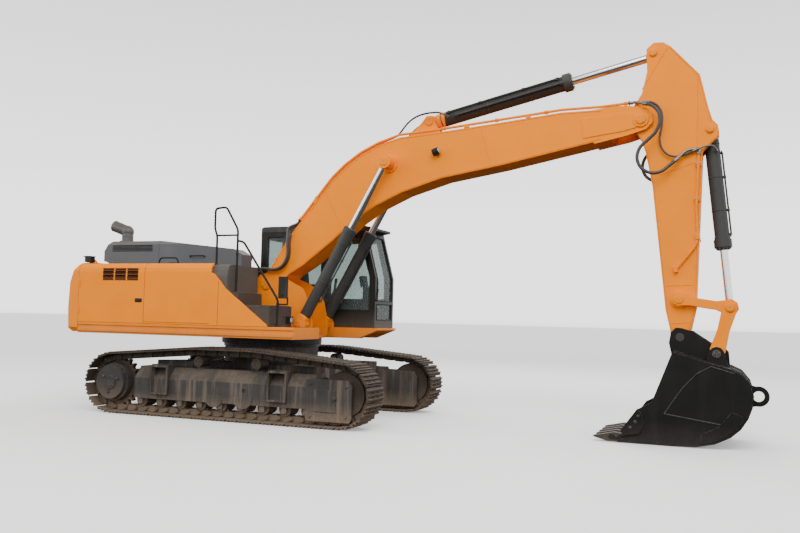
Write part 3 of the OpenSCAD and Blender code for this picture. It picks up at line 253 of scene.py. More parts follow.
def make_area(name, place, target, size, power):
    """Soft rectangular lamp aimed at a point."""
    data = bpy.data.lights.new(name, "AREA")
    data.shape = "RECTANGLE"
    data.size, data.size_y = size
    data.energy = power
    lamp = add(name, data)
    lamp.location = place
    lamp.rotation_euler = (Vector(target) - Vector(place)).to_track_quat("-Z", "Y").to_euler()


def make_lights():
    """Bright studio: a pale surround, brightest at the horizon, with a broad key and a softer fill."""
    world = bpy.data.worlds.new("studio")
    bpy.context.scene.world = world
    g = Graph(world, "Background")
    ramp = g.node("ValToRGB", Fac=g.span(g.split(g.coord["Generated"])["Z"], -1, 1))
    low, high = BELOW / HORIZON, ZENITH / HORIZON
    marks = ramp.color_ramp.elements
    marks[0].color = (low, low, low, 1)
    marks[1].color = (high, high, high, 1)
    for place, share in ((0.47, low), (0.5, 1), (0.56, 1), (0.78, high)):
        marks.new(place).color = (share, share, share, 1)
    g.set(g.end, Color=ramp.outputs["Color"], Strength=HORIZON)
    make_area("key", (8, -13, 15), (1.5, 0, 2), (12, 9), 2450)
    make_area("fill", (-14, -9, 9), (0, 0, 2), (10, 8), 700)
    make_area("rim", (2, 14, 13), (1, 0, 2), (14, 8), 1400)


def make_floor():
    """Pale studio floor with a faint tone, lit a little from within, more so where the lamps don't reach."""
    mesh = bmesh.new()
    bmesh.ops.create_grid(mesh, x_segments=24, y_segments=24, size=FLOOR_HALF)
    data = bpy.data.meshes.new("floor")
    mesh.to_mesh(data)
    mesh.free()
    floor = add("floor", data)
    floor.location.z = -0.002
    g = Graph(bpy.data.materials.new("floor_paint"))
    tone = g.mix(g.noise(0.6, 5), (0.9, 0.9, 0.89), (0.95, 0.95, 0.945))
    x, y, _ = g.split(g.coord["Object"])
    glow = g.span(g.far(x, y), 6, 40, FLOOR_GLOW, FAR_GLOW)
    g.set(g.end, Base_Color=tone, Roughness=0.85, Emission_Color=(1, 1, 1), Emission_Strength=glow)
    data.materials.append(g.owner)
    floor.visible_diffuse = False
    floor.visible_glossy = False


make_camera()
make_lights()
make_floor()


# Materials

DUST = (0.3, 0.235, 0.17)
BARE = (0.33, 0.31, 0.29)
BROWN = (0.17, 0.125, 0.088)
ORANGE_RGB = (0.95, 0.25, 0.0)
GREY_RGB = (0.048, 0.049, 0.047)
ROD_EYE = 0.128
EYE_ROUGH = 0.4


def scaled(colour, share):
    """Colour made darker or lighter."""
    return tuple(min(1.0, c * share) for c in colour)


def surface(name, colour, rough=0.42, run=0.0, metal=0.0, dust=0.25, dust_colour=DUST, low=None, wear=0.0,
            mottle=0.1, grain=60.0, bump=0.12, edge=0.008, coat=0.0, spec=0.14, eye=None):
    """Painted or bare metal with dust on its upper faces, streaks, patchy tone and worn edges.

    low is the pair of heights between which dirt fades out, run the strength of muddy runs on the
    walls, and eye the centre and radius, seen along Y, of an end that is painted orange.
    """
    g = Graph(bpy.data.materials.new(name))
    patches = g.noise(1.6, 5)
    fine = g.noise(grain, 6)
    streaks = g.noise(7.0, 4, (1, 1, 0.1))
    base = g.mix(g.span(patches, 0.3, 0.7), scaled(colour, 1 - mottle), scaled(colour, 1 + mottle * 0.6))
    rough_now = g.span(fine, 0.3, 0.7, rough - 0.07, rough + 0.1)
    metal_now = metal
    x, _, z = g.split(g.coord["Object"])
    if eye:
        centre, radius = eye
        share = g.span(g.far(g.less(x, centre.x), g.less(z, centre.z)), radius + 0.004, radius - 0.004)
        base = g.mix(share, base, ORANGE_RGB)
        bare = g.less(1.0, share)
        rough_now = g.plus(g.times(rough_now, bare), g.times(share, EYE_ROUGH))
        metal_now = g.times(metal_now, bare)
    up = g.span(g.split(g.coord["Normal"])[2], 0.25, 0.95)
    settled = g.times(up, g.span(patches, 0.35, 0.6))
    dirt = g.plus(g.times(settled, 0.9), g.span(streaks, 0.52, 0.75, 0, 0.35))
    if low:
        near_ground = g.times(g.span(z, low[1], low[0]), g.span(fine, 0.25, 0.6, 0.5, 1.0))
        dirt = g.plus(dirt, g.times(near_ground, 1.6))
    dirt = g.times(dirt, dust, clamp=True)
    colour_now = g.mix(dirt, base, g.mix(fine, scaled(dust_colour, 0.75), scaled(dust_colour, 1.2)))
    if run:
        runs = g.span(g.noise(9.0, 5, (1, 1, 0.06)), 0.5, 0.68, 0, run)
        colour_now = g.mix(g.times(runs, g.less(1.0, up)), colour_now, scaled(dust_colour, 1.3))
    normal = None
    if wear:
        on_edge, normal = g.edges(edge)
        worn = g.times(on_edge, g.span(fine, 0.47, 0.6, 0, wear), clamp=True)
        colour_now = g.mix(worn, colour_now, BARE)
    rough_now = g.plus(rough_now, g.times(dirt, 0.35), clamp=True)
    g.set(g.end, Base_Color=colour_now, Metallic=metal_now, Roughness=rough_now)
    g.end.inputs["Specular IOR Level"].default_value = spec
    if coat:
        g.end.inputs["Coat Weight"].default_value = coat
        g.end.inputs["Coat Roughness"].default_value = 0.12
    g.bump(fine, bump, normal=normal)
    return g.owner


def glass(name, tint):
    """Tinted pane with a little dust."""
    g = Graph(bpy.data.materials.new(name))
    dust = g.span(g.noise(3.0, 6), 0.45, 0.8, 0.0, 0.12)
    g.set(g.end, Base_Color=g.mix(dust, tint, DUST), Roughness=g.span(dust, 0, 0.12, 0.02, 0.12))
    g.end.inputs["Transmission Weight"].default_value = 0.9
    g.end.inputs["IOR"].default_value = 1.1
    return g.owner


def cloth(name, colour):
    """Woven seat cover."""
    g = Graph(bpy.data.materials.new(name))
    weave = g.noise(420, 2, (1, 1, 0.4))
    g.set(g.end, Base_Color=g.mix(weave, scaled(colour, 0.6), scaled(colour, 1.5)), Roughness=0.92)
    g.end.inputs["Sheen Weight"].default_value = 0.3
    g.bump(weave, 0.35, 0.002)
    return g.owner


def barrel(name, colour, eye, radius):
    """Painted barrel of a cylinder with an orange base eye."""
    return surface(name, colour, 0.38, dust=0.1, wear=0.1, eye=(eye, radius))


def chrome(name, eye):
    """Polished rod with an oil film and a painted eye."""
    return surface(name, (0.66, 0.67, 0.68), 0.16, metal=1.0, dust=0.06, mottle=0.05, bump=0.02,
                   eye=(eye, ROD_EYE))


MATERIAL = {
    "orange": surface("orange_paint", ORANGE_RGB, dust=0.02, wear=0.07, spec=0.03, mottle=0.05, bump=0.05),
    "tool_orange": surface("tool_orange", ORANGE_RGB, dust=0.02, wear=0.08, spec=0.03, mottle=0.05,
                           bump=0.05),
    "deck": surface("deck_paint", scaled(ORANGE_RGB, 0.95), 0.45, dust=0.3, wear=0.2, spec=0.12,
                    dust_colour=BROWN, low=(1.3, 1.6)),
    "weight": surface("weight_paint", scaled(ORANGE_RGB, 0.97), 0.44, dust=0.03, wear=0.08, bump=0.25,
                      grain=35, spec=0.12, mottle=0.06),
    "weld": surface("weld_bead", scaled(ORANGE_RGB, 0.9), 0.45, dust=0.08, grain=130, bump=0.6, spec=0.12),
    "grey": surface("grey_paint", GREY_RGB, 0.4, dust=0.15, wear=0.2),
    "black": surface("black_paint", (0.014, 0.014, 0.014), dust=0.12, wear=0.15),
    "rail": surface("rail_paint", (0.016, 0.016, 0.016), 0.45, dust=0.1),
    "hood": surface("hood_plastic", (0.098, 0.099, 0.103), 0.46, dust=0.18, wear=0.08, grain=140),
    "pipe": surface("exhaust_steel", (0.12, 0.112, 0.105), 0.5, metal=0.4, wear=0.15, mottle=0.25,
                    dust_colour=(0.16, 0.1, 0.06)),
    "tank": surface("tank_paint", (0.082, 0.077, 0.072), 0.46, dust=0.3, wear=0.25, dust_colour=BROWN),
    "box": surface("box_paint", (0.062, 0.05, 0.041), 0.5, dust=0.45, wear=0.25, dust_colour=BROWN),
    "engine": surface("engine_iron", (0.05, 0.05, 0.05), 0.6, dust=0.5),
    "cab": surface("cab_paint", (0.013, 0.012, 0.011), 0.36, dust=0.15, wear=0.12, low=(1.5, 1.9)),
    "roof": surface("roof_plastic", (0.04, 0.04, 0.041), 0.5, dust=0.3, wear=0.05, grain=120),
    "plastic": surface("cab_plastic", (0.028, 0.028, 0.03), 0.55, dust=0.2, grain=160),
    "glass": glass("tinted_glass", (0.42, 0.49, 0.48)),
    "cloth": cloth("seat_cloth", (0.035, 0.036, 0.04)),
    "steel": surface("track_steel", (0.06, 0.046, 0.035), 0.62, metal=0.2, dust=0.85, dust_colour=BROWN,
                     low=(0.0, 0.55), wear=0.35, mottle=0.3, grain=28, bump=0.5),
    "frame": surface("frame_mud", (0.05, 0.046, 0.043), 0.62, run=0.55, dust=0.8, dust_colour=BROWN,
                     low=(0.05, 0.4), wear=0.15, mottle=0.35, grain=22, bump=0.5),
    "drive": surface("drive_paint", (0.04, 0.038, 0.036), 0.5, dust=0.5, dust_colour=BROWN, low=(0.1, 0.6),
                     wear=0.2, mottle=0.2, grain=30, bump=0.3),
    "bucket": surface("bucket_steel", (0.011, 0.0105, 0.01), 0.5, metal=0.1, dust_colour=(0.075, 0.06, 0.05),
                      low=(0.0, 0.35), wear=0.4, mottle=0.3, grain=26, bump=0.4, edge=0.012, spec=0.125),
    "tooth": surface("tooth_steel", (0.06, 0.053, 0.046), 0.5, metal=0.4, dust=0.4, low=(0.0, 0.2),
                     dust_colour=(0.13, 0.1, 0.08), wear=0.6, mottle=0.3, grain=24, bump=0.4),
    "rubber": surface("hose_rubber", (0.016, 0.016, 0.017), 0.5, dust=0.15, grain=200),
    "hose": surface("hose_cover", (0.05, 0.048, 0.046), dust=0.15, grain=200, spec=0.3),
    "lamp": surface("lamp_plastic", (0.018, 0.018, 0.019), 0.45, dust=0.2),
    "dark": surface("shadow_gap", (0.02, 0.012, 0.006), 0.8, dust=0.1),
    # Dark orange of the louvred vents' lips and slats: painted shade of the louvres over their orange paint,
    # with a little dust.
    "vent": surface("vent_slat", (0.16, 0.045, 0.008), 0.6, dust=0.2, dust_colour=(0.09, 0.045, 0.02)),
    "bolt": surface("plated_bolt", (0.22, 0.2, 0.17), metal=0.8, dust=0.35),
    "lens": surface("lamp_lens", (0.75, 0.77, 0.78), 0.12, dust=0.12, coat=1.0, mottle=0.2),
    "mirror": surface("mirror_glass", (0.78, 0.8, 0.82), 0.05, metal=1.0, dust=0.08),
    "screen": surface("screen_glass", (0.012, 0.018, 0.022), 0.08, dust=0.1, coat=0.6),
    "boom_barrel": barrel("boom_barrel_paint", GREY_RGB, BOOM_BASE, 0.17),
    "arm_barrel": barrel("arm_barrel_paint", scaled(GREY_RGB, 0.7), ARM_BASE, 0.27),
    "bucket_barrel": barrel("bucket_barrel_paint", GREY_RGB, BUCKET_BASE, 0.16),
    "boom_rod": chrome("boom_rod_chrome", BOOM_ROD),
    "arm_rod": chrome("arm_rod_chrome", ARM_ROD),
    "bucket_rod": chrome("bucket_rod_chrome", LINK_PIN),
}
NODE_FINISH = {
    "frame": "carbody track_frames track_steps tow_lugs",
    "steel": "track_loops drive_sprockets idlers bottom_rollers top_rollers",
    "drive": "final_drives",
    "black": "swing_bearing handrails",
    "grey": "house_frame",
    "pipe": "exhaust_stack",
    "deck": "upper_frame",
    "orange": "side_covers pump_door cooler_door filter_door",
    "tool_orange": "boom arm tipping_links bucket_link boom_pipes arm_pipes",
    "weight": "counterweight",
    "engine": "engine control_valve",
    "tank": "fuel_tank",
    "box": "storage_box",
    "hood": "hood_cover engine_hood",
    "cab": "cab_shell cab_door",
    "roof": "cab_roof",
    "plastic": "cab_console",
    "glass": "cab_glass cab_door_glass",
    "cloth": "cab_seat",
    "lamp": "side_mirror work_lamps boom_lamp",
    "rubber": "boom_foot_hoses arm_cylinder_hoses arm_hoses",
    "boom_barrel": "boom_barrels",
    "arm_barrel": "arm_barrel",
    "bucket_barrel": "bucket_barrel",
    "boom_rod": "boom_rods",
    "arm_rod": "arm_rod",
    "bucket_rod": "bucket_rod",
    "bucket": "bucket bucket_eye",
    "tooth": "bucket_teeth",
}
for finish, members in NODE_FINISH.items():
    for member in members.split():
        NODES[member].data.materials.clear()
        NODES[member].data.materials.append(MATERIAL[finish])


# Mesh building

def across(side, near, far):
    """Two places along Y on one side of the middle, in rising order."""
    return sorted((side * near, side * far))


def rect(x0, z0, x1, z1):
    """Outline of a rectangle."""
    return [(x0, z0), (x1, z0), (x1, z1), (x0, z1)]


def arc(centre, radius, plane, start=0.0, end=2 * math.pi, steps=24):
    """Points of an arc; plane is the pair of axes it turns from and towards."""
    a, b = (Vector(axis) for axis in plane)
    turns = (start + (end - start) * k / steps for k in range(steps + 1))
    return [Vector(centre) + radius * (math.cos(t) * a + math.sin(t) * b) for t in turns]


def square_to(way):
    """Pair of axes at right angles to a direction."""
    return Vector(way).to_track_quat("Z", "Y").to_matrix().transposed()[:2]


def smooth_path(points, steps=6):
    """Catmull-Rom curve through the points."""
    points = [Vector(p) for p in points]
    ends = [2 * points[0] - points[1], *points, 2 * points[-1] - points[-2]]
    path = []
    for a, b, c, d in zip(ends, ends[1:], ends[2:], ends[3:]):
        for t in (k / steps for k in range(steps)):
            path.append(0.5 * (2 * b + (c - a) * t + (2 * a - 5 * b + 4 * c - d) * t * t
                               + (3 * b - a - 3 * c + d) * t ** 3))
    return path + [points[-1]]


def rounded(points, radius, steps=5):
    """Line with its corners bent round."""
    points = [Vector(p) for p in points]
    path = [points[0]]
    for a, b, c in zip(points, points[1:], points[2:]):
        start = b + (a - b).normalized() * radius
        end = b + (c - b).normalized() * radius
        path += [start.lerp(b, t).lerp(b.lerp(end, t), t) for t in (k / steps for k in range(steps + 1))]
    return path + [points[-1]]


def inset(line, step):
    """Line of (x, z) points moved to the left of its direction."""
    moved = []
    for i, (x, z) in enumerate(line):
        a, b = line[max(i - 1, 0)], line[min(i + 1, len(line) - 1)]
        way = Vector((b[0] - a[0], b[1] - a[1])).normalized()
        moved.append((x - way.y * step, z + way.x * step))
    return moved


class Shape:
    """Solids of one piece, gathered in one mesh, with their places counted from an origin."""

    def __init__(self, origin=(0, 0, 0)):
        self.mesh = bmesh.new()
        self.origin = Vector(origin)

    def skin(self, outlines):
        """Solid through outlines that have the same number of points, closed at both ends."""
        rings = [[self.mesh.verts.new(self.origin + p) for p in outline] for outline in outlines]
        count = len(rings[0])
        for a, b in zip(rings, rings[1:]):
            for i in range(count):
                j = (i + 1) % count
                self.mesh.faces.new((a[i], a[j], b[j], b[i]))
        self.mesh.faces.new(rings[0][::-1])
        self.mesh.faces.new(rings[-1])
        return self

    def prism(self, outline, low, high, place=Matrix()):
        """Outline of (x, z) points pushed along Y from low to high."""
        return self.skin([[place @ Vector((x, y, z)) for x, z in outline] for y in (low, high)])

    def box(self, low, high):
        return self.prism(rect(low[0], low[2], high[0], high[2]), low[1], high[1])

    def rod(self, start, end, radius, sides=16, end_radius=None):
        """Round bar or cone from start to end."""
        plane = square_to(Vector(end) - Vector(start))
        ends = ((start, radius), (end, radius if end_radius is None else end_radius))
        return self.skin([arc(centre, r, plane, steps=sides)[:-1] for centre, r in ends])

    def bolt(self, place, axis, size=0.018):
        """Hexagon head on its washer."""
        place, axis = Vector(place), Vector(axis).normalized()
        self.rod(place, place + axis * size * 0.25, size * 1.35, 12)
        return self.rod(place + axis * size * 0.25, place + axis * size * 1.1, size, 6, size * 0.94)

    def bolt_ring(self, centre, axis, radius, count, size=0.018, start=0.0):
        for place in arc(centre, radius, square_to(axis), start, start + 2 * math.pi, count)[:-1]:
            self.bolt(place, axis, size)
        return self

    def tube(self, path, radius, sides=10):
        """Round tube along a list of points."""
        path = [Vector(p) for p in path]
        side = None
        rings = []
        for i, point in enumerate(path):
            ahead = (path[min(i + 1, len(path) - 1)] - path[max(i - 1, 0)]).normalized()
            if side is None:
                side = ahead.orthogonal().normalized()
            side = (side - ahead * side.dot(ahead)).normalized()
            rings.append(arc(point, radius, (side, ahead.cross(side)), steps=sides)[:-1])
        return self.skin(rings)

    def done(self, name, body, slot, finish, smooth=35, bevel=0.0):
        """The finished piece, riding its body."""
        bmesh.ops.recalc_face_normals(self.mesh, faces=self.mesh.faces)
        data = bpy.data.meshes.new(name)
        self.mesh.to_mesh(data)
        self.mesh.free()
        data.shade_smooth()
        data.set_sharp_from_angle(angle=math.radians(smooth))
        data.materials.append(MATERIAL[finish])
        piece = add(name, data)
        if bevel:
            cut = piece.modifiers.new("round", "BEVEL")
            cut.width = bevel
            cut.segments = 2
            cut.angle_limit = math.radians(40)
        if body:
            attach(piece, body)
        return piece


# Hoses

HOSE_R = 0.026
THIN_HOSE_R = 0.016
PIPE_Y = (0.19, 0.252)
PIPE_FOOT = (1.0, 0.858)
PIPE_END = (6.9, 0.318)
PATH_STEPS = 6


def lay_hose(name, route, radius, bodies, node=None, rigid=(1, 1), steel="bolt"):
    """Hose along its route between two bodies; only its sleeves and fittings ride them.

    rigid counts the steps of the route at each end that are a steel fitting; the hose starts in a
    crimped sleeve.
    """
    path = smooth_path(route, PATH_STEPS)
    first, last = (PATH_STEPS * count for count in rigid)
    free = path[first:len(path) - last]
    hose = Shape().tube(free, radius, 14).done(name, None, "hose_rubber", "hose")
    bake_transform(hose)
    if node:
        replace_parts(hose, node)
    for tail, way, at, body in (("start", path, first, bodies[0]), ("end", path[::-1], last, bodies[1])):
        ahead = (way[at + 4] - way[at]).normalized()
        sleeve = Shape().rod(way[at] - ahead * 0.01, way[at] + ahead * 0.06, radius * 1.22, 14)
        sleeve.done(f"{name}_{tail}", body, "grey_paint", steel)
        out = (way[4] - way[0]).normalized()
        fitting = Shape().tube(way[:at + 1], radius * 0.86, 12)
        fitting.rod(way[0] + out * 0.004, way[0] + out * 0.03, radius * 1.45, 6)
        fitting.done(f"{name}_fitting_{tail}", body, "grey_paint", steel)


def foot_hose_route(k):
    """From the valve up to the boom's pipes; k is 0 for the inner hose and 1 for the outer."""
    end = in_boom(*PIPE_FOOT, PIPE_Y[k])
    way = turn(0.82, 0.446, BOOM_ANGLE).normalized()
    low = [
        (-0.497, 0.15, 2.26), (-0.46, 0.15, 2.26), (-0.425, 0.152, 2.265), (-0.375, 0.175, 2.312),
        (-0.296, 0.225, 2.409), (-0.222, 0.285, 2.504), (-0.109, 0.322, 2.566), (0.024, 0.333, 2.575),
        (0.157, 0.332, 2.559), (0.29, 0.332, 2.575), (0.4, 0.332, 2.652), (0.464, 0.332, 2.77),
        (0.482, 0.334, 2.903),
    ]
    high = [(0.476, 0.335, 3.037), (0.468, 0.312, 3.169), (0.458, 0.28, 3.3)]
    route = [(x, y + 0.06 * k, z) for x, y, z in low]
    route += [(x, y + 0.072 * k, z) for x, y, z in high]
    return route + [end - way * 0.09, end]


def arm_hose_route():
    """Loop from the boom's pipes to the arm's."""
    start = in_boom(*PIPE_END, PIPE_Y[1])
    end = in_arm(0.72, 0.73, ARM_HALF + 0.034)
    way = turn(0.78, -0.17, ARM_ANGLE).normalized()
    return [
        start, (6.425, 0.252, 5.163), (6.554, 0.332, 5.12), (6.687, 0.395, 5.062), (6.783, 0.418, 4.941),
        (6.797, 0.422, 4.784), (6.733, 0.42, 4.639), (6.621, 0.42, 4.527), (6.509, 0.426, 4.412),
        (6.471, 0.426, 4.256), (6.529, 0.416, 4.112), (6.66, 0.394, 4.033), (6.812, 0.366, 4.048),
        (6.936, 0.338, 4.142), (7.052, 0.31, 4.248), end + Vector((-0.17, 0.025, 0.06)), end - way * 0.08,
        end,
    ]


BUCKET_HOSE_ROUTE = [
    (6.35, 0.236, 5.152), (6.455, 0.228, 5.172), (6.571, 0.225, 5.177), (6.663, 0.228, 5.154),
    (6.758, 0.24, 5.085), (6.818, 0.255, 4.953), (6.814, 0.262, 4.756), (6.786, 0.265, 4.582),
    (6.816, 0.265, 4.43), (6.91, 0.265, 4.32), (7.052, 0.265, 4.283), (7.193, 0.265, 4.323),
    (7.324, 0.262, 4.385), (7.438, 0.255, 4.426), (7.536, 0.225, 4.435), (7.591, 0.172, 4.392),
    (7.597, 0.122, 4.371),
]
CYLINDER_HOSE_ROUTE = [in_boom(x, z, y) for x, y, z in (
    (3.1, 0.19, 1.505), (3.15, 0.19, 1.503), (3.21, 0.191, 1.508), (3.29, 0.195, 1.538),
    (3.38, 0.202, 1.585), (3.48, 0.215, 1.625), (3.59, 0.232, 1.645), (3.7, 0.25, 1.642),
    (3.81, 0.266, 1.62), (3.92, 0.274, 1.585), (4.03, 0.266, 1.54), (4.105, 0.238, 1.49),
    (4.133, 0.195, 1.455), (4.136, 0.155, 1.448), (4.136, 0.122, 1.448),
)]


def mirrored(route, side):
    return [(x, side * y, z) for x, y, z in route]


for side, tag in ((-1, "right"), (1, "left")):
    for k in (0, 1):
        lay_hose(f"boom_foot_hose_{tag}_{k}", mirrored(foot_hose_route(k), side), HOSE_R,
                 ("upper", "boom_body"), "boom_foot_hoses", (3, 3), "hose")
    lay_hose(f"arm_hose_{tag}", mirrored(arm_hose_route(), side), HOSE_R,
             ("boom_body", "arm_body"), "arm_hoses", (2, 3))
    lay_hose(f"bucket_hose_{tag}", mirrored(BUCKET_HOSE_ROUTE, side), THIN_HOSE_R,
             ("boom_body", "arm_body"), None, (2, 4))
    lay_hose(f"arm_cylinder_hose_{tag}", mirrored(CYLINDER_HOSE_ROUTE, side), THIN_HOSE_R,
             ("boom_body", "arm_barrel_body"),
             "arm_cylinder_hoses", (1, 3))


# Tracks

def track_loop():
    """Places of each shoe's two pins along the pin line, as (start, end) pairs in X and Z."""
    def bend(x, start, end, steps=160):
        turns = (start + (end - start) * k / steps for k in range(steps + 1))
        return [Vector((x + PITCH_R * math.cos(t), END_R + PITCH_R * math.sin(t))) for t in turns]

    to_rear, to_front = (
        Vector((x - end, TOP_PIN_RISE)) for x, end in zip(TOP_ROLLERS, (-HALF_BASE, HALF_BASE)))
    front = math.atan2(to_front.y, to_front.x) - math.acos(PITCH_R / to_front.length)
    rear = math.atan2(to_rear.y, to_rear.x) + math.acos(PITCH_R / to_rear.length)
    line = [Vector((-HALF_BASE, END_R - PITCH_R))]
    line += bend(HALF_BASE, -math.pi / 2, front)
    line += [Vector((x, END_R + TOP_PIN_RISE)) for x in reversed(TOP_ROLLERS)]
    line += bend(-HALF_BASE, rear, 1.5 * math.pi)[:-1]
    line.append(line[0])
    marks = [0.0]
    for a, b in zip(line, line[1:]):
        marks.append(marks[-1] + (b - a).length)
    pitch = marks[-1] / SHOE_COUNT
    pins = []
    at = 0
    for i in range(SHOE_COUNT):
        while marks[at + 1] < i * pitch:
            at += 1
        share = (i * pitch - marks[at]) / (marks[at + 1] - marks[at])
        pins.append(line[at].lerp(line[at + 1], share))
    return list(zip(pins, pins[1:] + pins[:1]))


def shoe_outline(pitch):
    """Profile of a triple-grouser shoe along the track and outwards, its lips lapping the next shoe."""
    foot, crest = LINK_H / 2, LINK_H / 2 + SHOE_T
    half = 0.011
    points = [(-0.52 * pitch, foot + 0.006), (-0.44 * pitch, foot), (0.4 * pitch, foot),
              (0.5 * pitch, foot - 0.004), (0.515 * pitch, foot + 0.012), (0.42 * pitch, crest - 0.002)]
    for x, share in ((0.32 * pitch, 1.0), (0.0, 0.9), (-0.32 * pitch, 1.0)):
        height = crest + GROUSER_H * share
        points += [(x + half * 1.7, crest), (x + half, height), (x - half, height), (x - half * 1.7, crest)]
    return points + [(-0.5 * pitch, crest - 0.004)]


def link_outline(pitch):
    """One side plate of the chain, with a round eye at its front end."""
    half = LINK_H / 2 * 0.92
    reach = 0.5 * pitch
    eye = [(reach + half * 0.75 * math.cos(a), half * 0.75 * math.sin(a)) for a in (-1.2, -0.6, 0, 0.6, 1.2)]
    return [(-reach * 0.3, -half), (reach * 0.55, -half), *eye, (reach * 0.55, half), (-reach * 0.3, half)]


def make_tracks():
    shape = Shape()
    pairs = track_loop()
    pitch = (pairs[0][1] - pairs[0][0]).length
    shoe, link = shoe_outline(pitch), link_outline(pitch)
    back_link = [(-x, z) for x, z in reversed(link)]
    for side in (-1, 1):
        for a, b in pairs:
            ahead = (b - a).normalized()
            middle = (a + b) / 2
            place = Matrix(((ahead.x, 0, ahead.y, middle.x), (0, 1, 0, side * TRACK_Y),
                            (ahead.y, 0, -ahead.x, middle.y), (0, 0, 0, 1)))
            shape.prism(shoe, -SHOE_W / 2, SHOE_W / 2, place)
            for s in (-1, 1):
                shape.prism(link, *across(s, 0.087, 0.11), place)
                shape.prism(back_link, *across(s, 0.065, 0.0865), place)
                for x in (-0.16, 0.16):
                    head = Vector((x * pitch, s * 0.088, LINK_H / 2 + SHOE_T))
                    shape.rod(place @ head, place @ (head + Z_AXIS * 0.013), 0.016, 6)
            for reach, radius in ((0.118, 0.024), (0.064, 0.034)):
                shape.rod(*(place @ Vector((pitch / 2, y, 0)) for y in (-reach, reach)), radius, 10)
    tracks = shape.done("track_shoes", "undercarriage", "track_steel", "steel", smooth=25)
    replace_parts(tracks, "track_loops")


def make_undercarriage():
    """Bolts of the drives, rollers and guards, inspection plates and step treads."""
    bolts, plates = Shape(), Shape()
    guard = TRACK_Y + 0.236
    for side in (-1, 1):
        out = side * Y_AXIS
        hub = Vector((-HALF_BASE, side * (TRACK_Y + 0.18), END_R))
        bolts.bolt_ring(hub, out, 0.305, 20, 0.011)
        bolts.bolt_ring(hub + out * 0.082, out, 0.165, 3, 0.022, 0.4)
        bolts.bolt_ring(hub + out * 0.1, out, 0.085, 8, 0.01)
        for i in range(9):
            for dx in (-0.028, 0.028):
                bolts.bolt((-1.6 + i * 3.18 / 8 + dx, side * (TRACK_Y + 0.186), 0.318), out, 0.011)
        for x, z in ((1.68, 0.18), (1.68, 0.68), (2.3, 0.2), (2.3, 0.66)):
            bolts.bolt((x, side * guard, z), out, 0.016)
        plates.prism(rect(1.74, 0.26, 2.12, 0.6), *across(side, guard, guard + 0.012))
        bolts.bolt((HALF_BASE - 0.1, side * (guard + 0.012), END_R - 0.05), out, 0.03)
        for x in TOP_ROLLERS:
            bolts.bolt_ring((x, side * (TRACK_Y + 0.125), TOP_ROLLER_Z), out, 0.055, 6, 0.009)
        for step in (-1.185, 1.08):
            for x in (step - 0.16 + k * 0.043 for k in range(8)):
                plates.prism([(x, 0.85), (x + 0.026, 0.85), (x + 0.013, 0.872)],
                             *across(side, TRACK_Y + 0.1, TRACK_Y + 0.258))
    bolts.bolt_ring((0, 0, 1.25), (0, 0, -1), 0.88, 44, 0.012)
    bolts.done("undercarriage_bolts", "undercarriage", "track_steel", "frame")
    plates.done("undercarriage_plates", "undercarriage", "track_steel", "frame", bevel=0.003)


make_tracks()
make_undercarriage()


# House

def make_vents(name, body, side, wall, spans, feet, height, pitch=0.0):
    """Backs of the slots in a panel, near black as painted shade of the space behind them, with a bent lip
    over each slot.

    spans are the slots' ends along X, feet their lower edges and wall their depth along Y. Where a
    pitch is given, darker slats lie between the slots, and they and the lips get a dark orange that is
    painted shade of the louvres.
    """
    backs, lips, slats = Shape(), Shape(), set()
    gap = 0.0005
    for x0, x1 in spans:
        for z in feet:
            top = z + height
            backs.prism(rect(x0 + gap, z + gap, x1 - gap, top - gap),
                        *across(side, wall - 0.001, wall + 0.0012))
            lips.prism(rect(x0 + 0.001, top - 0.004, x1 - 0.001, top + 0.002),
                       *across(side, wall + 0.0015, wall + 0.011))
            for foot in ((top, top - pitch) if pitch else ()):
                slats.add((x0 - 0.008, foot, x1 + 0.008, foot + pitch - height))
    # A slat found from the slots on both sides of it can be there twice, a rounding apart.
    for slat in sorted(slats):
        lips.prism(rect(*slat), *across(side, SIDE_Y - 0.003, SIDE_Y + 0.0015))
    slot = "orange_paint" if pitch else "cover_plastic"
    backs.done(name, body, slot, "dark")
    lips.done(name + "_lips", body, slot, "vent" if pitch else "black")


def make_latch(name, body, x, z, side):
    """Flush paddle latch with its lock barrel."""
    plate = Shape((x, 0, z))
    plate.prism(rect(-0.075, -0.035, 0.075, 0.035), *across(side, SIDE_Y - 0.002, SIDE_Y + 0.006))
    paddle = [(-0.055, -0.022), (0.03, -0.022), (0.055, 0), (0.03, 0.022), (-0.055, 0.022)]
    plate.prism(paddle, *across(side, SIDE_Y + 0.005, SIDE_Y + 0.016))
    plate.rod((0.058, side * SIDE_Y, 0), (0.058, side * (SIDE_Y + 0.011), 0), 0.011, 12)
    plate.done(name, body, "lamp_plastic", "lamp", bevel=0.003)


def studs(shape, x0, x1, y0, y1, z, step=0.05):
    """Anti-slip studs in staggered rows on a level plate."""
    for j in range(round((y1 - y0) / step)):
        for i in range(round((x1 - x0) / step)):
            x = x0 + (i + 0.5 + 0.5 * (j % 2)) * step
            y = y0 + (j + 0.5) * step
            if x < x1:
                shape.rod((x, y, z), (x, y, z + 0.006), 0.016, 8, 0.01)


def make_panels():
    seams = Shape()
    for outline in (rect(-0.203, 1.56, -0.197, 2.29), rect(-1.705, 1.575, -0.365, 1.581)):
        seams.prism(outline, -SIDE_Y - 0.0008, -SIDE_Y + 0.003)
    seams.done("panel_seams", "upper", "orange_paint", "dark")
    sill = Shape()
    for y in (-SIDE_Y, SIDE_Y - 0.02):
        for low, high in ((1.385, 1.44), (1.5, 1.546)):
            sill.prism(rect(WEIGHT_FRONT + 0.004, low, DECK_FRONT, high), y + 0.003, y + 0.0205)
    sill.done("deck_sills", "upper", "orange_paint", "deck", bevel=0.005)
    make_latch("pump_door_latch", "pump_cover", -1.83, 1.95, -1)
    make_latch("cooler_door_latch", "cooler_cover", -2.02, 1.95, 1)
    make_latch("filter_door_latch", "filter_cover", -0.8, 1.95, 1)


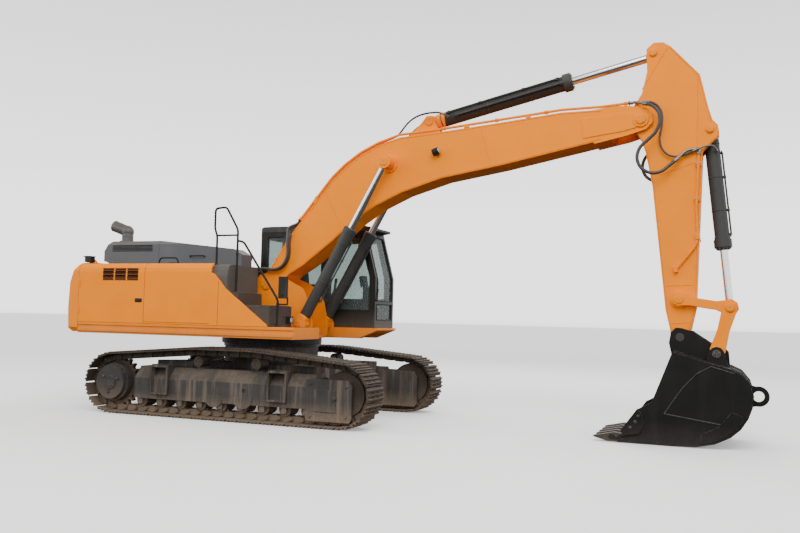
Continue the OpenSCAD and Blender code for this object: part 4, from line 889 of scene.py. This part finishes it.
def make_walkway():
    """Treads, the filler cap and the storage box's lid."""
    tread = Shape()
    studs(tread, -1.4, -0.45, -1.34, -0.8, PLATE_TOP)
    studs(tread, -0.05, 0.16, -1.44, -0.72, STEP_TOP, 0.045)
    studs(tread, 0.18, 0.75, -1.44, -0.72, BOX_TOP, 0.045)
    studs(tread, 0.86, 1.23, -1.45, -0.64, DECK_TOP)
    filler = Vector((-1.55, -0.98, PLATE_TOP))
    tread.rod(filler, filler + Z_AXIS * 0.045, 0.085, 24)
    tread.rod(filler + Z_AXIS * 0.045, filler + Z_AXIS * 0.065, 0.07, 8, 0.06)
    tread.done("walkway_treads", "upper", "tank_metal", "box")
    lid = Shape((0.76, 0, 0)).box((-0.001, -1.42, 1.6), (0.006, -0.93, 1.86))
    lid.box((-0.56, -1.4575, 1.86), (-0.02, -1.4545, 1.875))
    lid.rod((0, -0.97, 1.73), (0.016, -0.97, 1.73), 0.018, 12)
    for z in (1.65, 1.79):
        lid.rod((0.006, -1.41, z), (0.006, -1.41, z + 0.05), 0.01, 10)
    lid.done("box_lid", "upper", "tank_metal", "box", bevel=0.003)


def make_weight_fittings():
    """Lifting eyes and the rear camera on the counterweight."""
    eyes = Shape()
    radius = 0.075
    for y in (-1.0, 1.0):
        base = Vector((-3.28, y, 2.615))
        eyes.tube(arc(base, radius, (Y_AXIS, Z_AXIS), 0, math.pi, 16), 0.02, 10)
        for foot in (base - Y_AXIS * radius, base + Y_AXIS * radius):
            eyes.rod(foot - Z_AXIS * 0.01, foot + Z_AXIS * 0.014, 0.04, 14)
    eyes.done("weight_lifting_eyes", "upper", "weight_iron", "weight")
    camera = Shape().box((-3.27, -1.26, 2.638), (-3.13, -1.14, 2.74))
    camera.box((-3.3, -1.27, 2.735), (-3.12, -1.13, 2.752))
    camera.done("rear_camera", "upper", "lamp_plastic", "lamp", bevel=0.008)
    lens = Shape().rod((-3.27, -1.2, 2.69), (-3.279, -1.2, 2.69), 0.022, 16, 0.016)
    lens.done("rear_camera_lens", "upper", "lamp_plastic", "screen")


def make_rails():
    """Bent hand rails and the low grip on the deck, with their feet."""
    rear, middle, front = -0.39, 0.02, 0.83
    grip_rear, grip_front, grip_in = -1.63, -1.21, 0.06
    grip_top = PLATE_TOP + 0.125
    rails, feet = Shape((0, RAIL_Y, 0)), Shape((0, RAIL_Y, 0))
    for y, bend, radius, line in (
        (0, 0.06, 0.019, [(rear, PLATE_TOP), (rear, 3.08), (-0.44, 3.2), (-0.44, 3.55), (-0.22, 3.57),
                          (middle, 3.18), (middle, STEP_TOP)]),
        (0, 0.06, 0.019, [(middle, 2.99), (0.14, 2.97), (front, 2.0), (front, DECK_TOP)]),
        (grip_in, 0.05, 0.014, [(grip_rear, PLATE_TOP), (-1.6, grip_top), (-1.24, grip_top),
                                (grip_front, PLATE_TOP)]),
    ):
        rails.tube(rounded([(x, y, z) for x, z in line], bend), radius, 12)
    rails.rod((rear, 0, 3.085), (middle, 0, 3.085), 0.016, 12)
    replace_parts(rails.done("hand_rails", "upper", "grey_paint", "rail"), "handrails")
    for x, y, z in ((rear, 0, PLATE_TOP), (grip_rear, grip_in, PLATE_TOP), (grip_front, grip_in, PLATE_TOP),
                    (middle, 0, STEP_TOP), (front, 0, DECK_TOP)):
        feet.rod((x, y, z), (x, y, z + 0.012), 0.048, 16)
        feet.rod((x, y, z + 0.012), (x, y, z + 0.03), 0.03, 14, 0.022)
        feet.bolt_ring((x, y, z + 0.012), Z_AXIS, 0.038, 3, 0.006, 0.5)
    collars = ((middle, 2.3, 2.33, 0.025), (middle, 2.75, 2.78, 0.025), (front, 1.9, 1.95, 0.026))
    for x, low, high, radius in collars:
        feet.rod((x, 0, low), (x, 0, high), radius, 14)
    feet.done("rail_feet", "upper", "grey_paint", "rail")


def make_mirror():
    rim, pane = (Shape((0.96, RAIL_Y - 0.055, 2.205)) for _ in range(2))
    outline = rect(-0.075, -0.175, 0.075, 0.175)
    rim.tube([(x, 0, z) for x, z in outline + outline[:2]], 0.01, 8)
    rim.rod((0, -0.035, -0.105), (0, -0.045, -0.105), 0.035, 14, 0.028)
    rim.done("mirror_rim", "upper", "lamp_plastic", "lamp")
    pane.box((-0.067, -0.002, -0.167), (0.067, 0.003, 0.167))
    pane.done("mirror_pane", "upper", "lamp_plastic", "mirror", bevel=0.001)


def make_lamps():
    """Lenses, rims and guards of the work lamp on the deck and the lamp on the boom."""
    lens, rim = (Shape((0.83, -0.82, 1.67)) for _ in range(2))
    for k in range(3):
        lens.rod((0.001 * k, 0, 0), (0.004 + 0.002 * k, 0, 0), 0.05 - 0.012 * k, 20)
    rim.tube(arc((0.004, 0, 0), 0.053, (Y_AXIS, Z_AXIS)), 0.006, 8)
    for y in (-0.02, 0.02):
        rim.rod((0.012, y, -0.05), (0.012, y, 0.05), 0.003, 6)
    lens.done("work_lamp_lens", "upper", "lamp_plastic", "lens")
    rim.done("work_lamp_rim", "upper", "lamp_plastic", "lamp")
    ahead = turn(1, 0, BOOM_ANGLE)
    plane = (Y_AXIS, turn(0, 1, BOOM_ANGLE))
    lens, rim = (Shape(in_boom(3.832, 0.905, -BOOM_HALF - 0.072)) for _ in range(2))
    lens.rod(ahead * -0.001, ahead * 0.004, 0.049, 20)
    lens.rod(ahead * 0.004, ahead * 0.01, 0.04, 20, 0.026)
    lens.done("boom_lamp_lens", "boom_body", "lamp_plastic", "lens")
    rim.tube(arc((0, 0, 0), 0.055, plane), 0.007, 8)
    for k in range(4):
        rim.tube(arc(ahead * (-0.03 - 0.02 * k), 0.06, plane), 0.0045, 6)
    rim.done("boom_lamp_rim", "boom_body", "lamp_plastic", "lamp")


def make_exhaust():
    flange, bore = (Shape((HOOD_REAR + 0.195, -0.48, HOOD_TOP)) for _ in range(2))
    way = Vector((-0.31, 0, 0.11)).normalized()
    end = Vector((-0.31, 0, 0.3153))
    flange.rod((0, 0, 0), (0, 0, 0.016), 0.15, 28)
    flange.bolt_ring((0, 0, 0.016), Z_AXIS, 0.128, 6, 0.01)
    flange.tube(arc(end, 0.101, (Y_AXIS, way.cross(Y_AXIS))), 0.009, 8)
    flange.tube(arc((0, 0, 0.1), 0.107, (X_AXIS, Y_AXIS)), 0.006, 8)
    flange.done("exhaust_flange", "hood_lid", "grey_paint", "pipe")
    bore.rod(end - way * 0.002, end + way * 0.0015, 0.094, 28)
    bore.done("exhaust_bore", "hood_lid", "grey_paint", "dark")


def make_grip_and_valve():
    """Grip on the hood's cover and the caps of the control valve."""
    line = [(-0.15, 0, 0), (-0.14, -0.048, 0.02), (0, -0.058, 0.02), (0.14, -0.048, 0.02), (0.15, 0, 0)]
    grip = Shape((-1.15, -0.752, 2.76)).tube(smooth_path(line, 5), 0.011, 10)
    grip.done("hood_grip", "upper", "cover_plastic", "black")
    caps = Shape((-0.44, 0, 0))
    for z in (1.7, 1.86, 2.02):
        for y in (-0.2 + 0.1 * k for k in range(5)):
            caps.rod((-0.042, y, z), (0, y, z), 0.034, 14)
            caps.rod((0, y, z), (0.025, y, z), 0.024, 6)
    caps.bolt_ring((-0.15, 0.02, 2.809), Z_AXIS, 0.06, 6, 0.008)
    caps.done("valve_caps", "upper", "engine_iron", "bolt")


make_vents("pump_door_vents", "pump_cover", -1, SIDE_Y - 0.008,
           [(-2.62 + 0.265 * k, -2.39 + 0.265 * k) for k in range(3)],
           [2.31 + 0.034 * i for i in range(6)], 0.018, 0.034)
make_vents("cooler_door_vents", "cooler_cover", 1, SIDE_Y - 0.008,
           [(-2.95, -2.1)], [1.8 + 0.055 * i for i in range(10)], 0.025, 0.055)
make_vents("hood_vents", "hood_lid", -1, HOOD_HALF - 0.008,
           [(-3.066, -2.147)], [HOOD_TOP - 0.1 - 0.025 * i for i in range(5)], 0.014)
make_panels()
make_walkway()
make_weight_fittings()
make_rails()
make_mirror()
make_lamps()
make_exhaust()
make_grip_and_valve()


# Cab

RIGHT_WINDOW = [
    (CAB_X0 + 0.15, CAB_Z0 + 0.64), (0.56, CAB_Z0 + 0.64), (0.64, CAB_Z0 + 0.32),
    (CAB_X1 - 0.11, CAB_Z0 + 0.32), (CAB_X1 - 0.11, CAB_KNEE_Z), (CAB_TOP_X - 0.11, CAB_Z1 - 0.09),
    (CAB_X0 + 0.15, CAB_Z1 - 0.09),
]
REAR_LEFT_WINDOW = rect(CAB_X0 + 0.12, CAB_Z0 + 0.82, DOOR_X0 - 0.11, CAB_Z1 - 0.1)
DOOR_WINDOW = [
    (DOOR_X0 + 0.09, DOOR_Z0 + 0.48), (DOOR_X1 - 0.09, DOOR_Z0 + 0.48), (DOOR_X1 - 0.09, CAB_KNEE_Z),
    (DOOR_X1 - 0.27, DOOR_Z1 - 0.09), (DOOR_X0 + 0.09, DOOR_Z1 - 0.09),
]
WINDOW_TOP = CAB_Z1 - 0.09
WINDOW_TOP_X = CAB_X1 + (WINDOW_TOP - CAB_KNEE_Z) * (CAB_TOP_X - CAB_X1) / (CAB_Z1 - CAB_KNEE_Z)
SEAL_R = 0.009


def seal(shape, points):
    """Closed seal along straight edges."""
    for a, b in zip(points, points[1:] + points[:1]):
        shape.rod(a, b, SEAL_R, 8)


def make_seals():
    seals = Shape()
    seal(seals, [(x, CAB_Y - CAB_HALF, z) for x, z in RIGHT_WINDOW])
    seal(seals, [(x, CAB_Y + CAB_HALF, z) for x, z in REAR_LEFT_WINDOW])
    left, right = CAB_Y + 0.357, CAB_Y - 0.357
    low = CAB_Z0 + 0.5
    seal(seals, [(CAB_X1, right, low), (CAB_X1, left, low), (CAB_X1, left, CAB_KNEE_Z),
                 (WINDOW_TOP_X, left, WINDOW_TOP), (WINDOW_TOP_X, right, WINDOW_TOP),
                 (CAB_X1, right, CAB_KNEE_Z)])
    seal(seals, [(CAB_X1, y, z) for y, z in rect(right, CAB_Z0 + 0.15, left, CAB_Z0 + 0.44)])
    seal(seals, [(CAB_X0, y, z) for y, z in rect(CAB_Y - 0.38, CAB_Z0 + 0.9, CAB_Y + 0.38, CAB_Z1 - 0.12)])
    seals.done("window_seals", "upper", "cab_plastic", "rubber")
    door = Shape()
    seal(door, [(x, DOOR_FACE, z) for x, z in DOOR_WINDOW])
    door.done("door_seal", "cab_entry", "cab_plastic", "rubber")


def make_cab_fittings():
    handle = Shape((1.52, DOOR_FACE, 2.01)).box((-0.08, -0.002, -0.03), (0.08, 0.006, 0.03))
    bow = [(-0.06, 0.004, 0), (-0.05, 0.03, 0), (0.05, 0.03, 0), (0.06, 0.004, 0)]
    handle.tube(smooth_path(bow, 5), 0.009, 8)
    handle.done("door_handle", "cab_entry", "cab_plastic", "plastic")
    line = [(0, 0, 1.92), (0.002, 0.037, 1.95), (0.002, 0.042, 2.15), (0.002, 0.037, 2.4), (0, 0, 2.43)]
    rail = Shape((1.715, 1.498, 0)).tube(smooth_path(line), 0.013, 10)
    rail.done("cab_grab_rail", "upper", "cab_plastic", "black")
    wiper = Shape((CAB_X1, 0.655, 2.06)).rod((-0.004, 0, 0), (0.03, 0, 0), 0.026, 14, 0.02)
    wiper.rod((0.02, 0, 0), (0.012, 0.075, 0.2), 0.008, 8)
    wiper.box((-0.012, 0.067, 0.03), (0.006, 0.085, 0.39))
    wiper.done("cab_wiper", "upper", "cab_plastic", "rubber")
    roof = Shape((0, CAB_Y, CAB_Z1 + 0.1005)).box((0.1, -0.26, 0.024), (0.78, 0.26, 0.03))
    for y in (-0.36, 0.36):
        roof.rod((CAB_X0 + 0.12, y, 0), (CAB_TOP_X - 0.1, y, 0), 0.014, 8)
    roof.bolt_ring((0.44, 0, 0.03), Z_AXIS, 0.22, 8, 0.008)
    roof.done("roof_trim", "upper", "cab_plastic", "roof")


def make_controls():
    """Arm rests, levers with their bellows, pedals, the monitor and the box behind the seat."""
    trim = Shape(CAB_MIDDLE)
    for side in (-1, 1):
        y = side * 0.312
        rest = [(0.1, 0.56), (0.47, 0.56), (0.49, 0.585), (0.46, 0.615), (0.14, 0.615)]
        trim.prism(rest, y - 0.048, y + 0.048)
        for k in range(4):
            r = 0.052 - 0.008 * k
            z = 0.56 + 0.022 * k
            trim.rod((0.56, y, z), (0.563, y, z + 0.02), r, 16, r * 0.8)
        trim.rod((0.59, y, 0.79), (0.598, y, 0.85), 0.028, 14, 0.033)
        trim.rod((0.598, y, 0.85), (0.6, y, 0.885), 0.033, 14, 0.018)
        y = side * 0.09
        trim.prism([(1.22, 0.005), (1.44, 0.06), (1.43, 0.085), (1.21, 0.03)], y - 0.05, y + 0.05)
        trim.rod((1.352, y, 0.4), (1.372, y, 0.5), 0.024, 14, 0.02)
    trim.prism([(1.44, 0.68), (1.51, 0.7), (1.47, 0.9), (1.4, 0.88)], -0.393, -0.173)
    trim.box((CAB_X0 + 0.062, -0.36, 0.02), (CAB_X0 + 0.3, 0.36, 0.62))
    trim.done("cab_controls", "upper", "cab_plastic", "plastic", bevel=0.006)
    pane = [(1.4365, 0.695), (1.4385, 0.696), (1.402, 0.872), (1.4, 0.871)]
    screen = Shape(CAB_MIDDLE).prism(pane, -0.378, -0.188)
    screen.done("cab_screen", "upper", "cab_plastic", "screen")


def rounded_block(low, high, cuts=4):
    """Closed block with crowned faces, as a mesh grid pushed towards an ellipsoid."""
    mesh = bmesh.new()
    bmesh.ops.create_cube(mesh, size=2)
    bmesh.ops.subdivide_edges(mesh, edges=mesh.edges[:], cuts=cuts, use_grid_fill=True)
    middle = (Vector(low) + Vector(high)) / 2
    half = (Vector(high) - Vector(low)) / 2
    for v in mesh.verts:
        x, y, z = (c * c for c in v.co)
        v.co = middle + v.co * half * (1 - 0.06 * (x * y + y * z + z * x))
    return mesh


def swell(piece, cap, frames=20):
    """Cloth simulation that fills the cushion, with each point's travel capped."""
    start = [v.co.copy() for v in piece.data.vertices]
    fill = piece.modifiers.new("fill", "CLOTH")
    fill.settings.use_pressure = True
    fill.settings.uniform_pressure_force = 4
    fill.settings.effector_weights.gravity = 0
    fill.point_cache.frame_start = 1
    fill.point_cache.frame_end = frames
    scene = bpy.context.scene
    for f in range(1, frames + 1):
        scene.frame_set(f)
    deps = bpy.context.evaluated_depsgraph_get()
    moved = [v.co.copy() for v in piece.evaluated_get(deps).data.vertices]
    piece.modifiers.remove(fill)
    scene.frame_set(1)
    for v, a, b in zip(piece.data.vertices, start, moved):
        step = b - a
        if step.length > cap:
            step *= cap / step.length
        v.co = a + step


def make_cushion(name, low, high, lean=Matrix(), cap=0.022, voxel=0.008):
    """Stuffed cushion of the seat."""
    mesh = rounded_block(low, high)
    bmesh.ops.transform(mesh, matrix=Matrix.Translation(CAB_MIDDLE) @ lean, verts=mesh.verts)
    data = bpy.data.meshes.new(name)
    mesh.to_mesh(data)
    mesh.free()
    piece = add(name, data)
    remesh = piece.modifiers.new("voxel", "REMESH")
    remesh.mode = "VOXEL"
    remesh.voxel_size = voxel
    deps = bpy.context.evaluated_depsgraph_get()
    piece.data = bpy.data.meshes.new_from_object(piece.evaluated_get(deps))
    piece.modifiers.clear()
    swell(piece, cap)
    piece.data.shade_smooth()
    piece.data.materials.clear()
    piece.data.materials.append(MATERIAL["cloth"])
    finer = piece.modifiers.new("finer", "SUBSURF")
    finer.levels = finer.render_levels = 1
    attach(piece, "upper")


def make_seat():
    """Seat on a ribbed suspension base."""
    base, piping = Shape(CAB_MIDDLE), Shape(CAB_MIDDLE)
    for k in range(6):
        z = 0.1 + 0.035 * k
        grow = 0.012 * (k % 2)
        base.box((0.08 - grow, -0.17 - grow, z), (0.44 + grow, 0.17 + grow, z + 0.034))
    base.box((0.06, -0.2, 0), (0.46, 0.2, 0.1))
    base.box((0.05, -0.21, 0.312), (0.5, 0.21, 0.38))
    base.prism([(0.01, 0.38), (0.05, 0.38), (-0.04, 1.05), (-0.075, 1.05)], -0.19, 0.19)
    for y in (-0.06, 0.06):
        base.rod((-0.03, y, 1.04), (-0.035, y, 1.16), 0.01, 8)
    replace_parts(base.done("seat_pedestal", "upper", "cab_plastic", "plastic", bevel=0.006), "cab_seat")
    make_cushion("seat_cushion", (0.045, -0.225, 0.395), (0.545, 0.225, 0.485))
    lean = Matrix.Translation((0.075, 0, 0.49)) @ Matrix.Rotation(math.radians(-7.7), 4, "Y")
    make_cushion("seat_back", (-0.04, -0.215, 0.025), (0.042, 0.215, 0.575), lean)
    make_cushion("seat_head_rest", (-0.05, -0.115, 1.125), (0.02, 0.115, 1.295), cap=0.012)
    shares = [k / 8 for k in range(9)]
    for x in (0.17, 0.3, 0.43):
        line = [(x, -0.21 + 0.42 * t, 0.4865 + 0.01 * math.sin(math.pi * t)) for t in shares]
        piping.tube(line, 0.004, 6)
    piping.done("seat_piping", "upper", "seat_cloth", "rubber")


make_seals()
make_cab_fittings()
make_controls()
make_seat()


# Boom, arm, cylinders and bucket

BOOM_TOP = [
    (6.488, 0.403), (5.909, 0.631), (4.969, 0.903), (3.812, 1.25), (3.264, 1.432), (2.86, 1.47),
    (2.519, 1.454), (2.16, 1.38), (1.841, 1.262), (0.681, 0.64), (0.15, 0.26),
]
BOOM_LOW = [
    (0.452, 0.02), (0.772, 0.065), (1.468, 0.255), (1.976, 0.42), (2.42, 0.505), (2.963, 0.53),
    (3.706, 0.465), (4.717, 0.244), (5.69, 0.064), (6.311, -0.051),
]
BOOM_SEAMS = [((1.72, 0.35), (1.64, 1.13)), ((4.55, 0.3), (4.62, 0.985))]
ARM_LOW = [(0.26, -0.06), (0.52, -0.02), (1.053, -0.01), (2.95, -0.14), (3.25, -0.125)]
ARM_HIGH = [(-1.025, 0.62), (-0.487, 0.955), (0.038, 0.985), (0.24, 1.01)]
ARM_FRONT = [(0.52, 1.01), (0.687, 0.79), (2.98, 0.3), (3.34, 0.15)]
ARM_SEAMS = [
    ((-0.464, 0.087), (-1.015, 0.565)), ((-0.52, 0.93), (0.609, 0.725)), ((0.9, 0.117), (0.815, 0.725)),
    ((2.589, -0.07), (2.64, 0.324)), ((3.159, -0.085), (3.188, 0.202)),
]
ARM_PIPE_TAIL = [
    (1.46, 0.5687), (1.54, 0.551), (1.72, 0.53), (1.935, 0.5), (2.062, 0.448), (2.15, 0.362), (2.24, 0.262),
    (2.329, 0.16), (2.372, 0.108),
]
BUCKET_BACK = [
    (0.7, -0.425), (0.86, -0.5), (0.974, -0.64), (1.0, -0.8), (0.985, -0.95), (0.93, -1.11), (0.833, -1.264),
    (0.69, -1.395),
]
BUCKET_WEAR = [
    (0.9, -1.09), (0.81, -1.24), (0.67, -1.37), (0.5, -1.455), (0.3, -1.5), (0.32, -1.36), (0.55, -1.24),
    (0.72, -1.02),
]
BUCKET_FOLDS = (
    [(-0.187, -1.101), (0.064, -0.719), (0.257, -0.508), (0.447, -0.398), (0.759, -0.485)],
    [(-0.187, -1.101), (0.586, -1.21), (0.719, -1.087)],
)
TOOTH_CHEEK = [(-0.7, -1.46), (-0.95, -1.445), (-0.99, -1.485), (-0.95, -1.525), (-0.7, -1.515)]
WELD_R = 0.006
WELD_INSET = 0.022


def make_welds(name, body, place, half, edges, seams):
    """Fillet welds along a box's edges, given with the way they move inwards, and across its web joints."""
    welds = Shape()
    for side in (-1, 1):
        for line, way in edges:
            path = [place(x, z, side * (half + 0.001)) for x, z in inset(line, way * WELD_INSET)]
            welds.tube(path, WELD_R, 6)
        for a, b in seams:
            welds.rod(place(*a, side * (half + 0.0005)), place(*b, side * (half + 0.0005)), WELD_R, 6)
    welds.done(name, body, "orange_paint", "weld")


def make_pins(name, body, finish, *pins):
    """Covers of the pins' ends on both sides, with their bolts and a grease nipple.

    pins are (centre, distance of the face from the middle, radius, number of bolts).
    """
    caps, bolts = Shape(), Shape()
    for centre, reach, radius, count in pins:
        for out in (-Y_AXIS, Y_AXIS):
            face = centre + out * reach
            rim = face + out * 0.01
            caps.rod(face - out * 0.002, rim, radius, 28)
            caps.rod(rim, face + out * 0.014, radius * 0.86, 28, radius * 0.8)
            bolts.bolt_ring(rim, out, radius * 0.58, count, radius * 0.11, 0.6)
            bolts.rod(face + out * 0.012, face + out * 0.026, radius * 0.09, 8)
    slot = "bucket_steel" if body == "bucket_body" else "orange_paint"
    caps.done(name, body, slot, finish)
    bolts.done(name + "_bolts", body, slot, "bolt")


def make_cylinder(name, body, start, end, ys, radius, reach, lines, collars):
    """Bands, gland bolts and hard lines of a cylinder.

    lines are (high, aside, from, to); collars are (from, to, radius), measured from the barrel's end.
    """
    ahead = (end - start).normalized()
    up = Vector((-ahead.z, 0, ahead.x))
    plane = (Y_AXIS, up)
    trim, bolts = Shape(), Shape()
    for y in ys:
        def at(along, off=Vector()):
            return start + Y_AXIS * y + ahead * along + off

        bolts.bolt_ring(at(reach + 0.04), ahead, radius * 0.88, 10, 0.011)
        trim.tube(arc(at(0.2), radius + 0.001, plane), 0.008, 8)
        for a, b, wide in collars:
            trim.rod(at(reach + a), at(reach + b), wide, 32)
        for high, aside, a, b in lines:
            off = up * high + Y_AXIS * (aside if y >= 0 else -aside)
            near = off.normalized() * radius * 0.9
            path = [at(a, near), *(at(x, off) for x in (a + 0.03, a + 0.1, b - 0.1, b - 0.03)), at(b, near)]
            trim.tube(smooth_path(path, 4), 0.015, 10)
            for middle in (a + (b - a) * 0.3, a + (b - a) * 0.7):
                trim.tube(arc(at(middle), radius + 0.002, plane), 0.006, 6)
                trim.rod(at(middle - 0.02, off), at(middle + 0.02, off), 0.023, 10)
            for along in (a, b):
                trim.rod(at(along, off * 0.86), at(along, off * 1.04), 0.032, 6)
    trim.done(name + "_lines", body, "grey_paint", "grey")
    bolts.done(name + "_gland_bolts", body, "grey_paint", "bolt")


def make_pipe_unions():
    """Union nuts of the boom's pipes, clamps of the arm's pipes and the pipes' lower ends."""
    nuts = Shape()
    rise = (PIPE_FOOT, (1.78, 1.282))
    for line, y, marks in (
        (rise, PIPE_Y[1], (0.03, 0.55)), (rise, PIPE_Y[0], (0.03, 0.6)),
        (((3.826, 1.298), (5.9, 0.682)), PIPE_Y[1], (0.1, 0.52, 0.9)),
        (((6.54, 0.437), PIPE_END), PIPE_Y[1], (0.9,)),
    ):
        a, b = (Vector(p) for p in line)
        half = (b - a).normalized() * 0.024
        for side in (-1, 1):
            for middle in (a.lerp(b, share) for share in marks):
                nuts.rod(in_boom(*(middle - half), side * y), in_boom(*(middle + half), side * y), 0.033, 6)
    nuts.done("pipe_unions", "boom_body", "orange_paint", "tool_orange")
    clamps, tail = Shape(), Shape()
    for x, z in ((0.86, 0.6995), (1.38, 0.5862)):
        for side in (-1, 1):
            for dz in (-0.026, 0.026):
                clamps.bolt(in_arm(x, z + dz, side * (ARM_HALF + 0.048)), (0, side, 0), 0.01)
    clamps.done("arm_clamp_bolts", "arm_body", "orange_paint", "bolt")
    for side in (-1, 1):
        line = [in_arm(x, z, side * (ARM_HALF + 0.028)) for x, z in ARM_PIPE_TAIL]
        tail.tube(smooth_path(line, 4), 0.02, 10)
        for x, z in (ARM_PIPE_TAIL[3], ARM_PIPE_TAIL[-1]):
            block = [in_arm(*corner).xz for corner in rect(x - 0.045, z - 0.03, x + 0.045, z + 0.03)]
            tail.prism(block, *across(side, ARM_HALF - 0.002, ARM_HALF + 0.056))
    tail.done("arm_pipe_tails", "arm_body", "orange_paint", "tool_orange", bevel=0.004)


def make_bucket():
    """Wear straps, side wear plates, weld lines, cutter bolts and the teeth's adapters."""
    plates, bolts, welds = (Shape(WRIST) for _ in range(3))
    strap = inset(BUCKET_BACK, 0.014) + inset(BUCKET_BACK, -0.006)[::-1]
    for y in (-0.6, -0.3, 0.3, 0.6):
        plates.prism(strap, y - 0.05, y + 0.05)
    for side in (-1, 1):
        plates.prism(BUCKET_WEAR, *across(side, BUCKET_HALF - 0.002, BUCKET_HALF + 0.012))
        for fold in BUCKET_FOLDS:
            seam = [(x, side * BUCKET_HALF, z) for x, z in fold]
            for a, b in zip(seam, seam[1:]):
                welds.rod(a, b, 0.009, 6)
        bolts.rod((0, side * 0.271, 0), (0, side * 0.2745, 0), 0.062, 28)
        for x, z in ((-0.66, -1.33), (-0.585, -1.24), (-0.545, -1.15)):
            bolts.bolt((x, side * (BUCKET_HALF + 0.034), z), (0, side, 0), 0.018)
    for y in (-0.634 + k * 0.317 for k in range(5)):
        bolts.rod((-0.86, y - 0.072, -1.468), (-0.86, y + 0.072, -1.468), 0.02, 12)
        for low in (y - 0.071, y + 0.064):
            plates.prism(TOOTH_CHEEK, low, low + 0.007)
    plates.done("bucket_wear_plates", "bucket_body", "bucket_steel", "bucket", bevel=0.003)
    bolts.done("bucket_bolts", "bucket_body", "bucket_steel", "tooth")
    welds.done("bucket_welds", "bucket_body", "bucket_steel", "tooth")


make_welds("boom_welds", "boom_body", in_boom, BOOM_HALF, ((BOOM_TOP, 1), (BOOM_LOW, 1)), BOOM_SEAMS)
make_welds("arm_welds", "arm_body", in_arm, ARM_HALF, ((ARM_LOW, 1), (ARM_HIGH, -1), (ARM_FRONT, -1)),
           ARM_SEAMS)
make_pins("upper_pins", "upper", "deck", (FOOT, 0.336, 0.085, 4), (BOOM_BASE, 0.586, 0.066, 3))
make_pins("boom_pins", "boom_body", "tool_orange", (TIP, 0.309, 0.078, 4), (ARM_BASE, 0.145, 0.062, 3))
make_pins("boom_rod_pins", "boom_rod_pair", "tool_orange", (BOOM_ROD, 0.54, 0.075, 3))
make_pins("arm_pins", "arm_body", "tool_orange", (ARM_ROD, 0.23, 0.056, 3), (BUCKET_BASE, 0.23, 0.054, 3),
          (TIPPING, 0.318, 0.062, 3))
make_pins("link_pins", "bucket_link_body", "tool_orange", (LINK_PIN, 0.378, 0.062, 3))
make_pins("bucket_pins", "bucket_body", "tooth", (EAR, 0.412, 0.062, 3))
make_cylinder("boom_cylinder", "boom_barrel_pair", BOOM_BASE, BOOM_ROD, (-0.44, 0.44), 0.098, 1.83,
              [(-0.122, -0.03, 0.5, 1.66)], [(-0.27, -0.05, 0.11), (-0.05, 0.03, 0.118)])
make_cylinder("arm_cylinder", "arm_barrel_body", ARM_BASE, ARM_ROD, (-0.0001,), 0.122, 2.42,
              [(0.075, 0.128, 0.36, 2.24), (-0.02, 0.146, 0.5, 2.3)], [(-0.1, 0.03, 0.15)])
make_cylinder("bucket_cylinder", "bucket_barrel_body", BUCKET_BASE, LINK_PIN, (0.0,), 0.108, 1.76,
              [(0.13, 0.0, 0.34, 1.6)], [(-0.1, 0.02, 0.13), (0.02, 0.06, 0.086)])
make_pipe_unions()
make_bucket()
